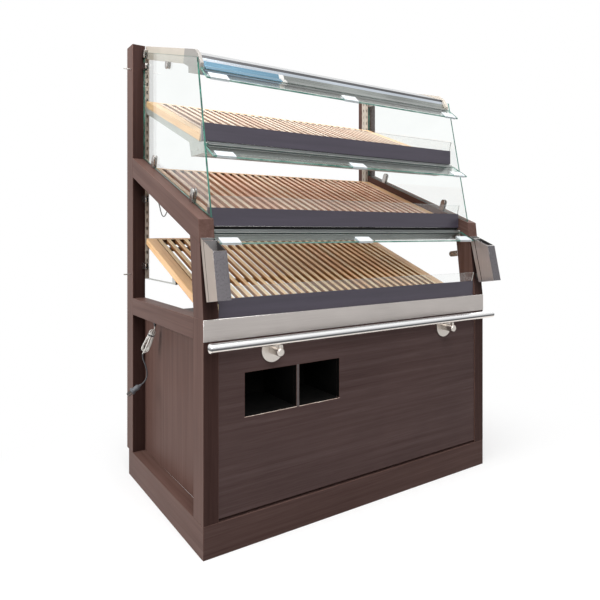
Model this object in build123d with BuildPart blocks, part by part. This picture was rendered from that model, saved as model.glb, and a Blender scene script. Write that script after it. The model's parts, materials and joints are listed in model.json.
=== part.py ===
from build123d import *

import os
from math import ceil, cos, radians, sin, tan

os.makedirs("parts", exist_ok=True)

# Driving dimensions, in millimetres and degrees. Depths run back from the cabinet's front face.
# The origin is on the floor at mid width, under the middle of the front plinth board.
width = 1250
depth = 770
height = 1715
cabinet_height = 710
plinth_height = 100
plinth_board = 25
rear_overhang = 25
post_width = 50
post_depth = 75
panel = 16
board = 18
back_sheet = 6
panel_setback = 4
shadow_gap = 8
apron_height = 65
sheet = 2
face_lean = 7
rack_slope = 21
nose_rise = 300
rail_thickness = 70
slant_depth = 73

# Bag niche in the front panel, from the left inner post face
niche_inset = 89
niche_widths = (189, 164)
niche_divider = 11
niche_sill = 399
niche_height = 137
niche_depth = 210
niche_wall = 4

# Handrail
tube_diameter = 28
tube_wall = 1.5
tube_reach = 46
tube_centre_height = 634
cap_thickness = 3
cap_spigot = 15
fit_gap = 0.1
flange_diameter = 78
flange_thickness = 5
flange_spacing = 780
standoff_diameter = 27
standoff_reach = 55
standoff_height = 597
stem_diameter = 10

# Slotted standards on the rear posts
standard_width = 16
standard_depth = 27
standard_foot = 784
standard_head_gap = 15
slot_pitch = 32
slot_length = 14
slot_width = 6

# Racks
rack_gap = 2
rack_rear_gap = 3
rack_thickness = 24
rack_edge = 38
edge_gap = 4
slat_width = 16
slat_height = 15
slat_gap = 20
rear_rail = 14
cross_bar = 20
cross_bar_places = (0.46, 0.90)
seat_gap = 0.3

# Price channels and clear lips
fascia_height = 58
fascia_return = 10
fascia_gap = 3
lip_thickness = 4
lip_seat = 14
lip_rise = 36
lip_lean = 15
lip_gap = 0.3

# Tiers: depth of the price channel, height of its foot above the cabinet, start of the rack there
tiers = ("lower", "mid", "upper")
fascia_front = {"lower": 8, "mid": 86, "upper": 131}
fascia_rise = {"lower": 0, "mid": 280, "upper": 554}
rack_rise = {"lower": -17, "mid": 296, "upper": 577}

# Light troughs, shelf arms and lamps
trough_depth = 85
trough_height = 38
trough_drop = 5
trough_lip = 8
arm_inset = 3
arm_thickness = 8
arm_height = 26
arm_nose = 110
rod_height = 4
rod_reach = 368
pad_depth = 32
diffuser = 3
lamp_width = 20
lamp_thickness = 3

# Canopy: a folded trough on two sloping arms
canopy_slope = 16
canopy_front = 153
canopy_arm_inset = 2
canopy_arm_thickness = 12
canopy_arm_height = 50
canopy_rise = 78
canopy_section = ((0, 0), (15, 34), (37, 63), (149, 75), (153, 36), (103, 23), (97, 0))
canopy_plate = ((1, 0), (1, 38), (34, 67), (62, 78), (153, 78), (153, 28), (103, 20), (97, 0))
canopy_slot_margin = 9

# Swinging glass strips in front of the troughs
flap_glass = 6
flap_half = 574
flap_names = ("mid", "upper", "canopy")
flap_length = {"mid": 82, "upper": 98, "canopy": 76}
flap_tilt = {"mid": 28.5, "upper": 32, "canopy": 40}
pin_radius = 3
pin_clearance = 0.05
knuckle_radius = 5
axis_reach = 7
axis_drop = 4
canopy_axis = (4.3, 25.8)
jaw_length = 18
glass_start = 9
grip_width = 66
grip_depth = 33
grip_wall = 1.5
grip_place = 529

# Side glasses and their clamps
glass_inset = 42
side_glass = 6
glass_foot_depth = 42
glass_seat = 3
glass_top = 12
glass_cover = 25
glass_rear_gap = 3
clamp_width = 24
clamp_length = 48
clamp_jaw = 6
clamp_inner_jaw = 3
rail_clamp_depths = (190, 575)
post_clamp_heights = (836, 1101, 1626)
slant_clamp_height = 881
corner_clamp_depth = 676
corner_clamp_grip = 10
disc_depth = 415
disc_drop = 26

# Tong holders on the leaning posts
holder_width = 44
holder_side = ((29.5, 954), (-62, 916), (-93, 776), (-18, 765))
holder_wall = 1.5
holder_seam = 0.22
spacer_width = 20
spacer_foot = 776
spacer_height = 22

# Screws and link pins
screw_radius = 3.5
screw_head = 1.6
screw_places = (-480, -160, 160, 480)
link_pin_radius = 2.5
link_pin_length = 28
link_pin_heights = (803, 1620)
link_pin_depth = 720

# Lamp driver under the cabinet top
driver_size = (180, 60, 35)
driver_inset = 35
driver_rear = 60

# Mains lead: points from the left outer face, the front face and the floor
gland_radius = 9
gland_height = 12
lead_radius = 2
tail_radius = 3
hank_radius = 15
hank_round = 7
lead_points = ((26, 507, 633), (26, 507, 620), (21.5, 512, 607.5))
hank_foot = (-9, 540, 518)
tail_points = (
    (-9, 540, 518),
    (-8, 543, 500),
    (-1, 541, 483),
    (5, 539, 463),
    (8, 538.5, 443),
    (5, 539, 425),
    (-3, 541, 411),
    (-14, 544, 403),
)
plug_length = 40
plug_radius = 14
plug_collar = 12
prong_length = 19
prong_radius = 2.4
prong_circle = 6.5

# Light cable that hangs under the middle rack, on the left
cable_radius = 2
cable_inset = 64
cable_points = (
    (695, 1170),
    (672, 1170),
    (648, 1156),
    (615, 1124),
    (585, 1093),
    (566, 1071),
    (549, 1043),
    (529, 1029),
    (508, 1030),
    (489, 1043),
    (467, 1060),
    (440, 1070),
    (405, 1066),
    (362, 1049),
    (316, 1026),
    (268, 1008),
    (228, 985),
    (208, 966),
    (191, 957),
    (172, 957),
)

# Values that follow from the driving dimensions
half = width / 2
inner = half - post_width
post_front = depth - post_depth
plinth_depth = depth - rear_overhang
apron_foot = cabinet_height - apron_height
nose_height = cabinet_height + nose_rise
nose_depth = nose_rise * tan(radians(face_lean))
slope = tan(radians(rack_slope))
lean = tan(radians(face_lean))
rack_half = inner - rack_gap
fascia_half = rack_half - 1
arm_outer = inner - arm_inset
arm_inner = arm_outer - arm_thickness
canopy_outer = inner - canopy_arm_inset
canopy_inner = canopy_outer - canopy_arm_thickness
glass_outer = half - glass_inset
glass_inner = glass_outer - side_glass
panel_back = panel_setback + board


def back(distance):
    """Y of a point this far behind the cabinet's front face."""
    return distance - plinth_board / 2


def rail_top(distance):
    return nose_height + slope * (distance - nose_depth)


def rail_under(distance):
    return rail_top(distance) - rail_thickness / cos(radians(rack_slope))


def lean_meets_rail(foot):
    """Point where a leaning line that starts at this depth meets the sloped rail's underside."""
    rise = (rail_under(foot) - cabinet_height) / (1 - slope * lean)
    return (foot + lean * rise, cabinet_height + rise)


def rack_front(tier):
    return fascia_front[tier] + fascia_return + 2 * fascia_gap


def rack_top(tier, distance):
    return cabinet_height + rack_rise[tier] + slope * (distance - rack_front(tier))


def rack_under(tier, distance):
    return rack_top(tier, distance) - rack_thickness / cos(radians(rack_slope))


def trough_top(tier):
    """The trough hangs just under the rack's lowest corner."""
    corner = cabinet_height + rack_rise[tier] - rack_thickness * cos(radians(rack_slope))
    return corner - trough_drop


def canopy_arm_top(distance):
    return height - tan(radians(canopy_slope)) * (post_front - distance)


def canopy_point(along, up):
    """Depth and height of a point in the canopy's own tilted frame."""
    turn = radians(canopy_slope)
    foot = canopy_arm_top(canopy_front) - canopy_rise / cos(turn)
    return (
        canopy_front + along * cos(turn) - up * sin(turn),
        foot + along * sin(turn) + up * cos(turn),
    )


def canopy_line_at(distance, up):
    """Point of a line parallel to the canopy arm, at this depth."""
    turn = radians(canopy_slope)
    along = (distance - canopy_front + up * sin(turn)) / cos(turn)
    return canopy_point(along, up)


def flap_axis(name):
    """Depth and height of the pin that a glass strip swings on."""
    if name == "canopy":
        return canopy_point(*canopy_axis)
    return (fascia_front[name] + 1 - axis_reach, trough_top(name) - axis_drop)


def write(name, *pieces):
    """One file per node. Touching pieces of a node stay separate solids."""
    solids = [solid for piece in pieces for solid in piece.solids()]
    node = Compound(solids) if len(solids) > 1 else solids[0]
    node.label = name
    export_step(node, f"parts/{name}.step")


def slab(x0, x1, d0, d1, z0, z1, mode=Mode.ADD):
    with Locations(((x0 + x1) / 2, back((d0 + d1) / 2), (z0 + z1) / 2)):
        Box(x1 - x0, d1 - d0, z1 - z0, mode=mode)


def prism(outline, x0, x1, mode=Mode.ADD):
    """A side outline of (depth, height) points, drawn out from x0 to x1."""
    with BuildSketch(Plane.YZ.offset(x0)) as profile:
        with BuildLine():
            Polyline(*[(back(d), z) for d, z in outline], close=True)
        make_face()
    extrude(profile.sketch, amount=x1 - x0, mode=mode)


def both_sides(outline, near, far, mode=Mode.ADD):
    """The same outline on the left and on the right, between two distances from mid width."""
    prism(outline, -far, -near, mode)
    prism(outline, near, far, mode)


def rack_plane(tier):
    """Plane of a rack's top, its local Y running up the slope from the front edge."""
    turn = radians(rack_slope)
    return Plane(
        origin=(0, back(rack_front(tier)), cabinet_height + rack_rise[tier]),
        x_dir=(1, 0, 0),
        z_dir=(0, -sin(turn), cos(turn)),
    )


def rack_length(tier):
    """Length along the slope that stops short of the standards."""
    turn = radians(rack_slope)
    run = post_front - rack_rear_gap - rack_thickness * sin(turn) - rack_front(tier)
    return run / cos(turn)


def flap_plane(name, x):
    """Plane across a glass strip, its local X running from the pin to the strip's front edge."""
    turn = radians(flap_tilt[name])
    axis_depth, axis_height = flap_axis(name)
    return Plane(
        origin=(x, back(axis_depth), axis_height),
        x_dir=(0, -cos(turn), -sin(turn)),
        z_dir=(1, 0, 0),
    )


def lead_place(point):
    return Vector(point[0] - half, back(point[1]), point[2])


def rounded_path(points):
    """Straight runs joined by tangent arcs as large as the runs allow."""
    runs = [b - a for a, b in zip(points, points[1:])]
    radii = []
    for before, after in zip(runs, runs[1:]):
        half_turn = radians(before.get_angle(after) / 2)
        radii.append(0.45 * min(before.length, after.length) / tan(half_turn))
    print("cord radii", [round(radius, 1) for radius in radii])
    return FilletPolyline(*points, radius=radii)


# Rear posts, standing on the plinth
for side, sign in (("left", -1), ("right", 1)):
    with BuildPart() as rear_post:
        x0, x1 = sorted((sign * inner, sign * half))
        slab(x0, x1, post_front, depth, plinth_height, height)
        chamfer(rear_post.edges().filter_by(Axis.Z), 1)
    write(f"{side}_rear_post", rear_post)

# Lower front posts
with BuildPart() as front_posts:
    slab(-half, -inner, 0, post_depth, plinth_height, cabinet_height)
    slab(inner, half, 0, post_depth, plinth_height, cabinet_height)
write("front_posts", front_posts)

# Leaning upper front posts, cut off under the sloped rails
slant_outline = (
    (0, cabinet_height),
    lean_meets_rail(0),
    lean_meets_rail(slant_depth),
    (slant_depth, cabinet_height),
)
with BuildPart() as slant_posts:
    both_sides(slant_outline, inner, half)
write("slant_posts", slant_posts)

# Sloped rails from the rear posts to the nose over the leaning posts
with BuildPart() as sloped_rails:
    both_sides(
        (
            (nose_depth, nose_height),
            (post_front, rail_top(post_front)),
            (post_front, rail_under(post_front)),
            lean_meets_rail(0),
        ),
        inner,
        half,
    )
write("sloped_rails", sloped_rails)

# Level side rails
with BuildPart() as side_rails:
    slab(-half, -inner, post_depth, post_front, apron_foot, cabinet_height)
    slab(inner, half, post_depth, post_front, apron_foot, cabinet_height)
write("side_rails", side_rails)

# Recessed side panels
with BuildPart() as side_panels:
    slab(-inner, panel - inner, panel_back, plinth_depth, plinth_height, apron_foot)
    slab(inner - panel, inner, panel_back, plinth_depth, plinth_height, apron_foot)
write("side_panels", side_panels)

# Plinth: a front board, two side beams as wide as the posts, and a rear board
with BuildPart() as plinth_front:
    slab(-half, half, 0, plinth_board, 0, plinth_height)
with BuildPart() as plinth_sides:
    slab(-half, -inner, plinth_board, plinth_depth, 0, plinth_height)
    slab(inner, half, plinth_board, plinth_depth, 0, plinth_height)
with BuildPart() as plinth_rear:
    slab(-inner, inner, plinth_depth - plinth_board, plinth_depth, 0, plinth_height)
write("plinth_boards", plinth_front, plinth_sides, plinth_rear)

# Cabinet floor, top and back
room_half = inner - panel
top_foot = apron_foot - board
with BuildPart() as cabinet_floor:
    slab(-room_half, room_half, panel_back, plinth_depth, plinth_height, plinth_height + board)
write("cabinet_floor", cabinet_floor)

batten_front = rack_front("lower") + fascia_gap
batten_top = rack_under("lower", batten_front + rack_thickness * sin(radians(rack_slope)))
with BuildPart() as cabinet_top:
    slab(-room_half, room_half, panel_back, plinth_depth, top_foot, apron_foot)
    slab(
        -room_half,
        room_half,
        batten_front,
        batten_front + board,
        apron_foot,
        batten_top - slope * fascia_gap - seat_gap,
    )
write("cabinet_top", cabinet_top)

with BuildPart() as cabinet_back:
    slab(-inner, inner, plinth_depth, plinth_depth + back_sheet, plinth_height, apron_foot)
write("cabinet_back", cabinet_back)

# Front panel with two niche holes, and the boxes behind them
first_hole = niche_inset - inner
second_hole = first_hole + niche_widths[0] + niche_divider
holes = (
    (first_hole, first_hole + niche_widths[0]),
    (second_hole, second_hole + niche_widths[1]),
)
niche_top = niche_sill + niche_height
panel_foot = plinth_height + shadow_gap
panel_top = cabinet_height - 10
with BuildPart() as front_panel:
    slab(-inner, inner, panel_setback, panel_back, panel_foot, panel_top)
    for x0, x1 in holes:
        slab(x0, x1, 0, panel_back + 1, niche_sill, niche_top, Mode.SUBTRACT)
write("front_panel", front_panel)

with BuildPart() as niche_boxes:
    for x0, x1 in holes:
        slab(
            x0 - niche_wall,
            x1 + niche_wall,
            panel_back,
            panel_back + niche_depth,
            niche_sill - niche_wall,
            niche_top + niche_wall,
        )
    for x0, x1 in holes:
        rear = panel_back + niche_depth - niche_wall
        slab(x0, x1, panel_back - 1, rear, niche_sill, niche_top, Mode.SUBTRACT)
write("niche_boxes", niche_boxes)

# Brushed apron: a plate over posts and panel, with returns between the posts
with BuildPart() as front_apron:
    slab(-half, half, -sheet, 0, apron_foot, cabinet_height)
    slab(-inner, inner, -sheet, panel_back, cabinet_height - sheet, cabinet_height)
    slab(-inner, inner, -sheet, panel_setback, apron_foot, apron_foot + sheet)
write("front_apron", front_apron)

# Handrail
tube_plane = Plane(
    origin=(cap_thickness - half, back(-tube_reach), tube_centre_height),
    x_dir=(0, 1, 0),
    z_dir=(1, 0, 0),
)
tube_bore = tube_diameter / 2 - tube_wall
tube_length = width - 2 * cap_thickness
with BuildPart() as handrail_tube:
    with BuildSketch(tube_plane):
        Circle(tube_diameter / 2)
        Circle(tube_bore, mode=Mode.SUBTRACT)
    extrude(amount=tube_length)
write("handrail_tube", handrail_tube)

with BuildPart() as handrail_caps:
    for start, spigot_start in (
        (-cap_thickness, 0),
        (tube_length, tube_length - cap_spigot),
    ):
        with BuildSketch(tube_plane.offset(start)):
            Circle(tube_diameter / 2)
        extrude(amount=cap_thickness)
        with BuildSketch(tube_plane.offset(spigot_start)):
            Circle(tube_bore - fit_gap)
        extrude(amount=cap_spigot)
    outer_rims = handrail_caps.edges().filter_by(GeomType.CIRCLE).group_by(Axis.X)
    fillet(outer_rims[0] + outer_rims[-1], 1.5)
write("handrail_caps", handrail_caps)

tube_underside = tube_centre_height - tube_diameter / 2
with BuildPart() as handrail_brackets:
    for x in (-flange_spacing / 2, flange_spacing / 2):
        wall = Plane(
            origin=(x, back(panel_setback), standoff_height), x_dir=(1, 0, 0), z_dir=(0, -1, 0)
        )
        with BuildSketch(wall):
            Circle(flange_diameter / 2)
        extrude(amount=flange_thickness)
        with BuildSketch(wall):
            Circle(standoff_diameter / 2)
        extrude(amount=panel_setback + standoff_reach)
    noses = handrail_brackets.edges().filter_by(GeomType.CIRCLE).group_by(Axis.Y)[0]
    fillet(noses, 6)
    for x in (-flange_spacing / 2, flange_spacing / 2):
        stem_plane = Plane(origin=(x, back(-tube_reach), standoff_height))
        with BuildSketch(stem_plane):
            Circle(stem_diameter / 2)
        extrude(amount=tube_underside - standoff_height)
write("handrail_brackets", handrail_brackets)

# Slotted standards, square tube with a column of slots in the front and in the inner face
standard_head = height - standard_head_gap
standard_height = standard_head - standard_foot
slot_count = int((standard_height - slot_pitch) / slot_pitch)
slot_middle = (standard_foot + standard_head) / 2
with BuildPart() as shelf_standards:
    for sign in (-1, 1):
        x0, x1 = sorted((sign * inner, sign * (inner - standard_width)))
        rear = post_front + standard_depth
        slab(x0, x1, post_front, rear, standard_foot, standard_head)
        slab(
            x0 + sheet,
            x1 - sheet,
            post_front + sheet,
            rear - sheet,
            standard_foot - 1,
            standard_head + 1,
            Mode.SUBTRACT,
        )
        middle = (x0 + x1) / 2
        face = Plane(
            origin=(middle, back(post_front - 1), slot_middle), x_dir=(1, 0, 0), z_dir=(0, 1, 0)
        )
        with BuildSketch(face):
            with GridLocations(1, slot_pitch, 1, slot_count):
                Rectangle(slot_width, slot_length)
        extrude(amount=sheet + 2, mode=Mode.SUBTRACT)
        inner_face = sign * (inner - standard_width - 1)
        side_face = Plane(
            origin=(inner_face, back(post_front + standard_depth / 2), slot_middle),
            x_dir=(0, 1, 0),
            z_dir=(sign, 0, 0),
        )
        with BuildSketch(side_face):
            with GridLocations(1, slot_pitch, 1, slot_count):
                Rectangle(slot_width, slot_length)
        extrude(amount=sheet + 2, mode=Mode.SUBTRACT)
write("shelf_standards", shelf_standards)

# Canopy arms and the end plates that carry the canopy trough
arm_foot = canopy_rise - canopy_arm_height
plate_end = canopy_plate[4][0]
with BuildPart() as canopy_arms:
    both_sides(
        (
            canopy_point(plate_end, canopy_rise),
            canopy_line_at(post_front, canopy_rise),
            canopy_line_at(post_front, arm_foot),
            canopy_point(plate_end, arm_foot),
        ),
        canopy_inner,
        canopy_outer,
    )

with BuildPart() as canopy_plates:
    both_sides([canopy_point(*corner) for corner in canopy_plate], canopy_inner, canopy_outer)
write("canopy_arms", canopy_arms, canopy_plates)


def shelf_arm_outline(tier):
    """Arm under a rack, with a deeper nose that holds the trough and a tab for the channel."""
    front = fascia_front[tier]
    top = trough_top(tier)
    tab_front = front + fascia_return
    tab_rear = tab_front + fascia_gap
    corner = rack_front(tier) + rack_thickness * sin(radians(rack_slope))
    nose_front = front + 1 - axis_reach - pin_radius - 0.5
    nose_end = front + arm_nose
    return (
        (nose_front, top - trough_height),
        (nose_front, top),
        (tab_front, top),
        (tab_front, cabinet_height + fascia_rise[tier] + fascia_height - 8),
        (tab_rear, cabinet_height + fascia_rise[tier] + fascia_height - 8),
        (tab_rear, top),
        (corner, top),
        (corner, rack_under(tier, corner) - seat_gap),
        (post_front, rack_under(tier, post_front) - seat_gap),
        (post_front, rack_under(tier, post_front) - arm_height),
        (nose_end, rack_under(tier, nose_end) - arm_height),
        (nose_end - 2 * trough_lip, top - trough_height),
    )


# Shelf arms: long ones under the middle and upper racks, slim ones with a pad under the lower
pad_front = rod_reach
pad_rear = pad_front + pad_depth
with BuildPart() as shelf_arms:
    for tier in ("mid", "upper"):
        both_sides(shelf_arm_outline(tier), arm_inner, arm_outer)
    both_sides(
        (
            (pad_front, standard_foot),
            (pad_front, rack_under("lower", pad_front) - seat_gap),
            (pad_rear, rack_under("lower", pad_rear) - seat_gap),
            (pad_rear, standard_foot + rod_height),
            (post_front, standard_foot + rod_height),
            (post_front, standard_foot),
        ),
        arm_inner,
        arm_outer,
    )
write("shelf_arms", shelf_arms)

# Racks: edge boards notched for two cross bars, a rail across the rear, and slats on the bars
slat_room = 2 * (rack_half - rack_edge - edge_gap)
slat_count = int((slat_room + slat_gap) / (slat_width + slat_gap))
slat_pitch = (slat_room - slat_width) / (slat_count - 1)
for tier in tiers:
    top_plane = rack_plane(tier)
    length = rack_length(tier)
    with BuildPart() as rack_frame:
        edge_middle = rack_half - rack_edge / 2
        with BuildSketch(top_plane.offset(-rack_thickness)):
            with Locations((-edge_middle, length / 2), (edge_middle, length / 2)):
                Rectangle(rack_edge, length)
        extrude(amount=rack_thickness)
        for place in cross_bar_places:
            with BuildSketch(top_plane.offset(-rack_thickness)):
                with Locations((0, place * length)):
                    Rectangle(2 * rack_half, cross_bar)
            extrude(amount=rack_thickness - slat_height, mode=Mode.SUBTRACT)
    with BuildPart() as cross_bars:
        with BuildSketch(top_plane.offset(-rack_thickness)):
            with Locations(*[(0, place * length) for place in cross_bar_places]):
                Rectangle(2 * rack_half, cross_bar)
        extrude(amount=rack_thickness - slat_height)
    with BuildPart() as rear_board:
        with BuildSketch(top_plane.offset(-rack_thickness)):
            with Locations((0, length - rear_rail / 2)):
                Rectangle(2 * (rack_half - rack_edge), rear_rail)
        extrude(amount=rack_thickness)
    write(f"{tier}_rack_frame", rack_frame, cross_bars, rear_board)
    slat_length = length - rear_rail
    with BuildPart() as rack_slats:
        with BuildSketch(top_plane.offset(-slat_height)):
            with Locations((0, slat_length / 2)):
                with GridLocations(slat_pitch, 1, slat_count, 1):
                    Rectangle(slat_width, slat_length)
        extrude(amount=slat_height)
    write(f"{tier}_rack_slats", rack_slats)


def fascia_outline(tier):
    """Price channel: front plate, foot return, and a slot in the top for the clear lip."""
    front = fascia_front[tier]
    foot = cabinet_height + fascia_rise[tier]
    top = foot + fascia_height
    slot_rear = front + sheet + lip_thickness + 2 * lip_gap
    return (
        (front, foot),
        (front + fascia_return, foot),
        (front + fascia_return, foot + sheet),
        (front + sheet, foot + sheet),
        (front + sheet, top - lip_seat - sheet),
        (slot_rear + sheet, top - lip_seat - sheet),
        (slot_rear + sheet, top),
        (slot_rear, top),
        (slot_rear, top - lip_seat),
        (front + sheet, top - lip_seat),
        (front + sheet, top),
        (front, top),
    )


def lip_outline(tier):
    """Clear lip: upright in its slot, then leaning out over the channel."""
    face = fascia_front[tier] + sheet + lip_gap
    top = cabinet_height + fascia_rise[tier] + fascia_height
    knee = top + lip_gap
    reach = lip_rise * tan(radians(lip_lean))
    return (
        (face, top - lip_seat),
        (face, knee),
        (face - reach, knee + lip_rise),
        (face - reach + lip_thickness, knee + lip_rise),
        (face + lip_thickness, knee),
        (face + lip_thickness, top - lip_seat),
    )


for tier in tiers:
    with BuildPart() as fascia:
        prism(fascia_outline(tier), -fascia_half, fascia_half)
    write(f"{tier}_fascia", fascia)
    with BuildPart() as lip:
        prism(lip_outline(tier), 1 - fascia_half, fascia_half - 1)
    write(f"{tier}_lip", lip)


def trough_outline(tier):
    """Folded trough, open below between two lips, its front wall rising to the channel."""
    front = fascia_front[tier] + 1
    rear = front + trough_depth
    top = trough_top(tier)
    foot = top - trough_height
    channel_foot = cabinet_height + fascia_rise[tier] - seat_gap
    return (
        (front, foot),
        (front + trough_lip, foot),
        (front + trough_lip, foot + sheet),
        (front + sheet, foot + sheet),
        (front + sheet, top - sheet),
        (rear - sheet, top - sheet),
        (rear - sheet, foot + sheet),
        (rear - trough_lip, foot + sheet),
        (rear - trough_lip, foot),
        (rear, foot),
        (rear, top),
        (front + sheet, top),
        (front + sheet, channel_foot),
        (front, channel_foot),
    )


for tier in ("mid", "upper"):
    with BuildPart() as housing:
        prism(trough_outline(tier), -arm_inner, arm_inner)
    write(f"{tier}_housing", housing)

canopy_base = Plane(
    origin=(-canopy_inner, back(canopy_point(0, 0)[0]), canopy_point(0, 0)[1]),
    x_dir=(0, cos(radians(canopy_slope)), sin(radians(canopy_slope))),
    z_dir=(1, 0, 0),
)
canopy_foot = canopy_section[-1][0]
slot_width_canopy = canopy_foot - 2 * canopy_slot_margin
with BuildPart() as canopy_housing:
    with BuildSketch(canopy_base):
        with BuildLine():
            Polyline(*canopy_section, close=True)
        make_face()
        offset(amount=-sheet, kind=Kind.INTERSECTION, mode=Mode.SUBTRACT)
        with Locations((canopy_foot / 2, 0)):
            Rectangle(slot_width_canopy, 3 * sheet, mode=Mode.SUBTRACT)
    extrude(amount=2 * canopy_inner)
write("canopy_housing", canopy_housing)

# Diffusers lie on the troughs' lips, and lamp strips hang under their tops
with BuildPart() as light_diffusers:
    for tier in ("mid", "upper"):
        front = fascia_front[tier] + 1
        foot = trough_top(tier) - trough_height + sheet
        slab(
            1 - arm_inner,
            arm_inner - 1,
            front + sheet + 1,
            front + trough_depth - sheet - 1,
            foot,
            foot + diffuser,
        )
    with BuildSketch(canopy_base.offset(1)):
        with Locations((canopy_foot / 2, sheet + diffuser / 2)):
            Rectangle(slot_width_canopy + trough_lip, diffuser)
    extrude(amount=2 * canopy_inner - 2)
write("light_diffusers", light_diffusers)

lamp_run = arm_inner - 20
with BuildPart() as lamp_strips:
    for tier in ("mid", "upper"):
        middle = fascia_front[tier] + 1 + trough_depth / 2
        top = trough_top(tier) - sheet
        slab(
            -lamp_run,
            lamp_run,
            middle - lamp_width / 2,
            middle + lamp_width / 2,
            top - lamp_thickness,
            top,
        )
    # The canopy's strip lies flat under its sloping top sheet
    low, high = canopy_section[2], canopy_section[3]
    sheet_slope = Vector(high[0] - low[0], high[1] - low[1]).normalized()
    strip_place = Vector((low[0] + high[0]) / 2, (low[1] + high[1]) / 2)
    inward = Vector(sheet_slope.Y, -sheet_slope.X)
    with BuildSketch(canopy_base.offset(canopy_inner - lamp_run)):
        with BuildLine():
            strip_top = strip_place + inward * sheet
            strip_foot = strip_top + inward * lamp_thickness
            reach = sheet_slope * (lamp_width / 2)
            Polyline(
                strip_top - reach,
                strip_top + reach,
                strip_foot + reach,
                strip_foot - reach,
                close=True,
            )
        make_face()
    extrude(amount=2 * lamp_run)
write("lamp_strips", lamp_strips)

# Glass strips: glass, edge rail with the hinge bore, and three grips on the front edge
rail_half = canopy_inner - 2
glass_face = flap_glass / 2
for name in flap_names:
    with BuildPart() as flap_pane:
        with BuildSketch(flap_plane(name, -flap_half)):
            with Locations(((glass_start + flap_length[name]) / 2, 0)):
                Rectangle(flap_length[name] - glass_start, flap_glass)
        extrude(amount=2 * flap_half)
    write(f"{name}_flap_glass", flap_pane)
    with BuildPart() as flap_rail:
        with BuildSketch(flap_plane(name, -rail_half)):
            Circle(knuckle_radius)
            with Locations((jaw_length / 2 + 1, 0)):
                Rectangle(jaw_length - 2, 2 * knuckle_radius)
            Circle(pin_radius + pin_clearance, mode=Mode.SUBTRACT)
            with Locations((glass_start + jaw_length / 2, 0)):
                Rectangle(jaw_length, flap_glass, mode=Mode.SUBTRACT)
        extrude(amount=2 * rail_half)
    write(f"{name}_flap_rail", flap_rail)
    with BuildPart() as flap_grips:
        for middle in (-grip_place, 0, grip_place):
            end = flap_length[name]
            with BuildSketch(flap_plane(name, middle - grip_width / 2)):
                with Locations((end - grip_depth / 2 + grip_wall, 0)):
                    Rectangle(grip_depth, flap_glass + 2 * grip_wall)
                with Locations((end - grip_depth, 0)):
                    Rectangle(2 * grip_depth, flap_glass, mode=Mode.SUBTRACT)
            extrude(amount=grip_width)
    write(f"{name}_flap_grips", flap_grips)

with BuildPart() as hinge_pins:
    for name in flap_names:
        reach = canopy_inner if name == "canopy" else arm_inner
        with BuildSketch(flap_plane(name, -reach)):
            Circle(pin_radius)
        extrude(amount=2 * reach)
write("hinge_pins", hinge_pins)

# Side glasses stand over the sloped rails and reach up beside the canopy arms
glass_rear = post_front - glass_rear_gap
glass_line = arm_foot + glass_cover
glass_outline = (
    (glass_foot_depth, rail_top(glass_foot_depth) + glass_seat),
    canopy_point(glass_top, glass_line),
    canopy_line_at(glass_rear, glass_line),
    (glass_rear, rail_top(glass_rear) + glass_seat),
)
for side, x0, x1 in (
    ("left", -glass_outer, -glass_inner),
    ("right", glass_inner, glass_outer),
):
    with BuildPart() as side_pane:
        prism(glass_outline, x0, x1)
    write(f"{side}_side_glass", side_pane)

# D-shaped clamps grip the side glasses on the rails, and on the rear posts and canopy arms
jaw_outer = glass_outer + clamp_jaw
jaw_inner = glass_inner - clamp_inner_jaw


def clamp_base(foot_depth, foot_height, up_depth, up_height, x):
    """Plane across a clamp, its local Y running up from the face that the clamp stands on."""
    return Plane(
        origin=(x, back(foot_depth), foot_height),
        x_dir=(0, up_height, -up_depth),
        z_dir=(1, 0, 0),
    )


def clamp(foot, up, length, slot_foot, near, far):
    """A D standing on its foot point, with a slot that takes the glass from the top."""
    low, high = sorted((near, far))
    with BuildSketch(clamp_base(*foot, *up, low)) as outer:
        with Locations((0, (length - clamp_width / 2) / 2)):
            Rectangle(clamp_width, length - clamp_width / 2)
        with Locations((0, length - clamp_width / 2)):
            Circle(clamp_width / 2)
    extrude(outer.sketch, amount=high - low)
    if slot_foot:
        slot_low = glass_inner if low > 0 else -glass_outer
        with BuildSketch(clamp_base(*foot, *up, slot_low)) as slot:
            with Locations((0, slot_foot + length)):
                Rectangle(2 * clamp_width, 2 * length)
        extrude(slot.sketch, amount=side_glass, mode=Mode.SUBTRACT)


rail_turn = radians(rack_slope)
rail_up = (-sin(rail_turn), cos(rail_turn))
rail_slot = glass_seat * cos(rail_turn)
slant_up = (cos(radians(face_lean)), -sin(radians(face_lean)))
slant_clamp_foot = slant_depth + (slant_clamp_height - cabinet_height) * lean
arm_up = (sin(radians(canopy_slope)), -cos(radians(canopy_slope)))
with BuildPart() as glass_clamps:
    for sign in (-1, 1):
        near = sign * inner
        far = sign * jaw_outer
        for place in rail_clamp_depths:
            foot = (place, rail_top(place))
            clamp(foot, rail_up, clamp_length, rail_slot, sign * jaw_inner, far)
        for place in post_clamp_heights:
            clamp((post_front, place), (-1, 0), clamp_length, glass_rear_gap, near, far)
        clamp(
            (slant_clamp_foot, slant_clamp_height),
            slant_up,
            clamp_length,
            clamp_width / 2,
            near,
            far,
        )
        corner = canopy_line_at(corner_clamp_depth, glass_line + corner_clamp_grip)
        clamp(
            corner,
            arm_up,
            clamp_width + corner_clamp_grip,
            corner_clamp_grip,
            sign * canopy_outer,
            far,
        )
        # A disc on each face of the glass, the inner one under the canopy arm
        disc = canopy_line_at(disc_depth, arm_foot)
        clamp(disc, arm_up, disc_drop, 0, sign * jaw_inner, sign * glass_inner)
        clamp(disc, arm_up, disc_drop, 0, sign * glass_outer, far)
write("glass_clamps", glass_clamps)


# Tong holders: an open box with a hollow back channel, leaning on the post and on a spacer
def between(start, end, share):
    return (start[0] + share * (end[0] - start[0]), start[1] + share * (end[1] - start[1]))


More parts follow.
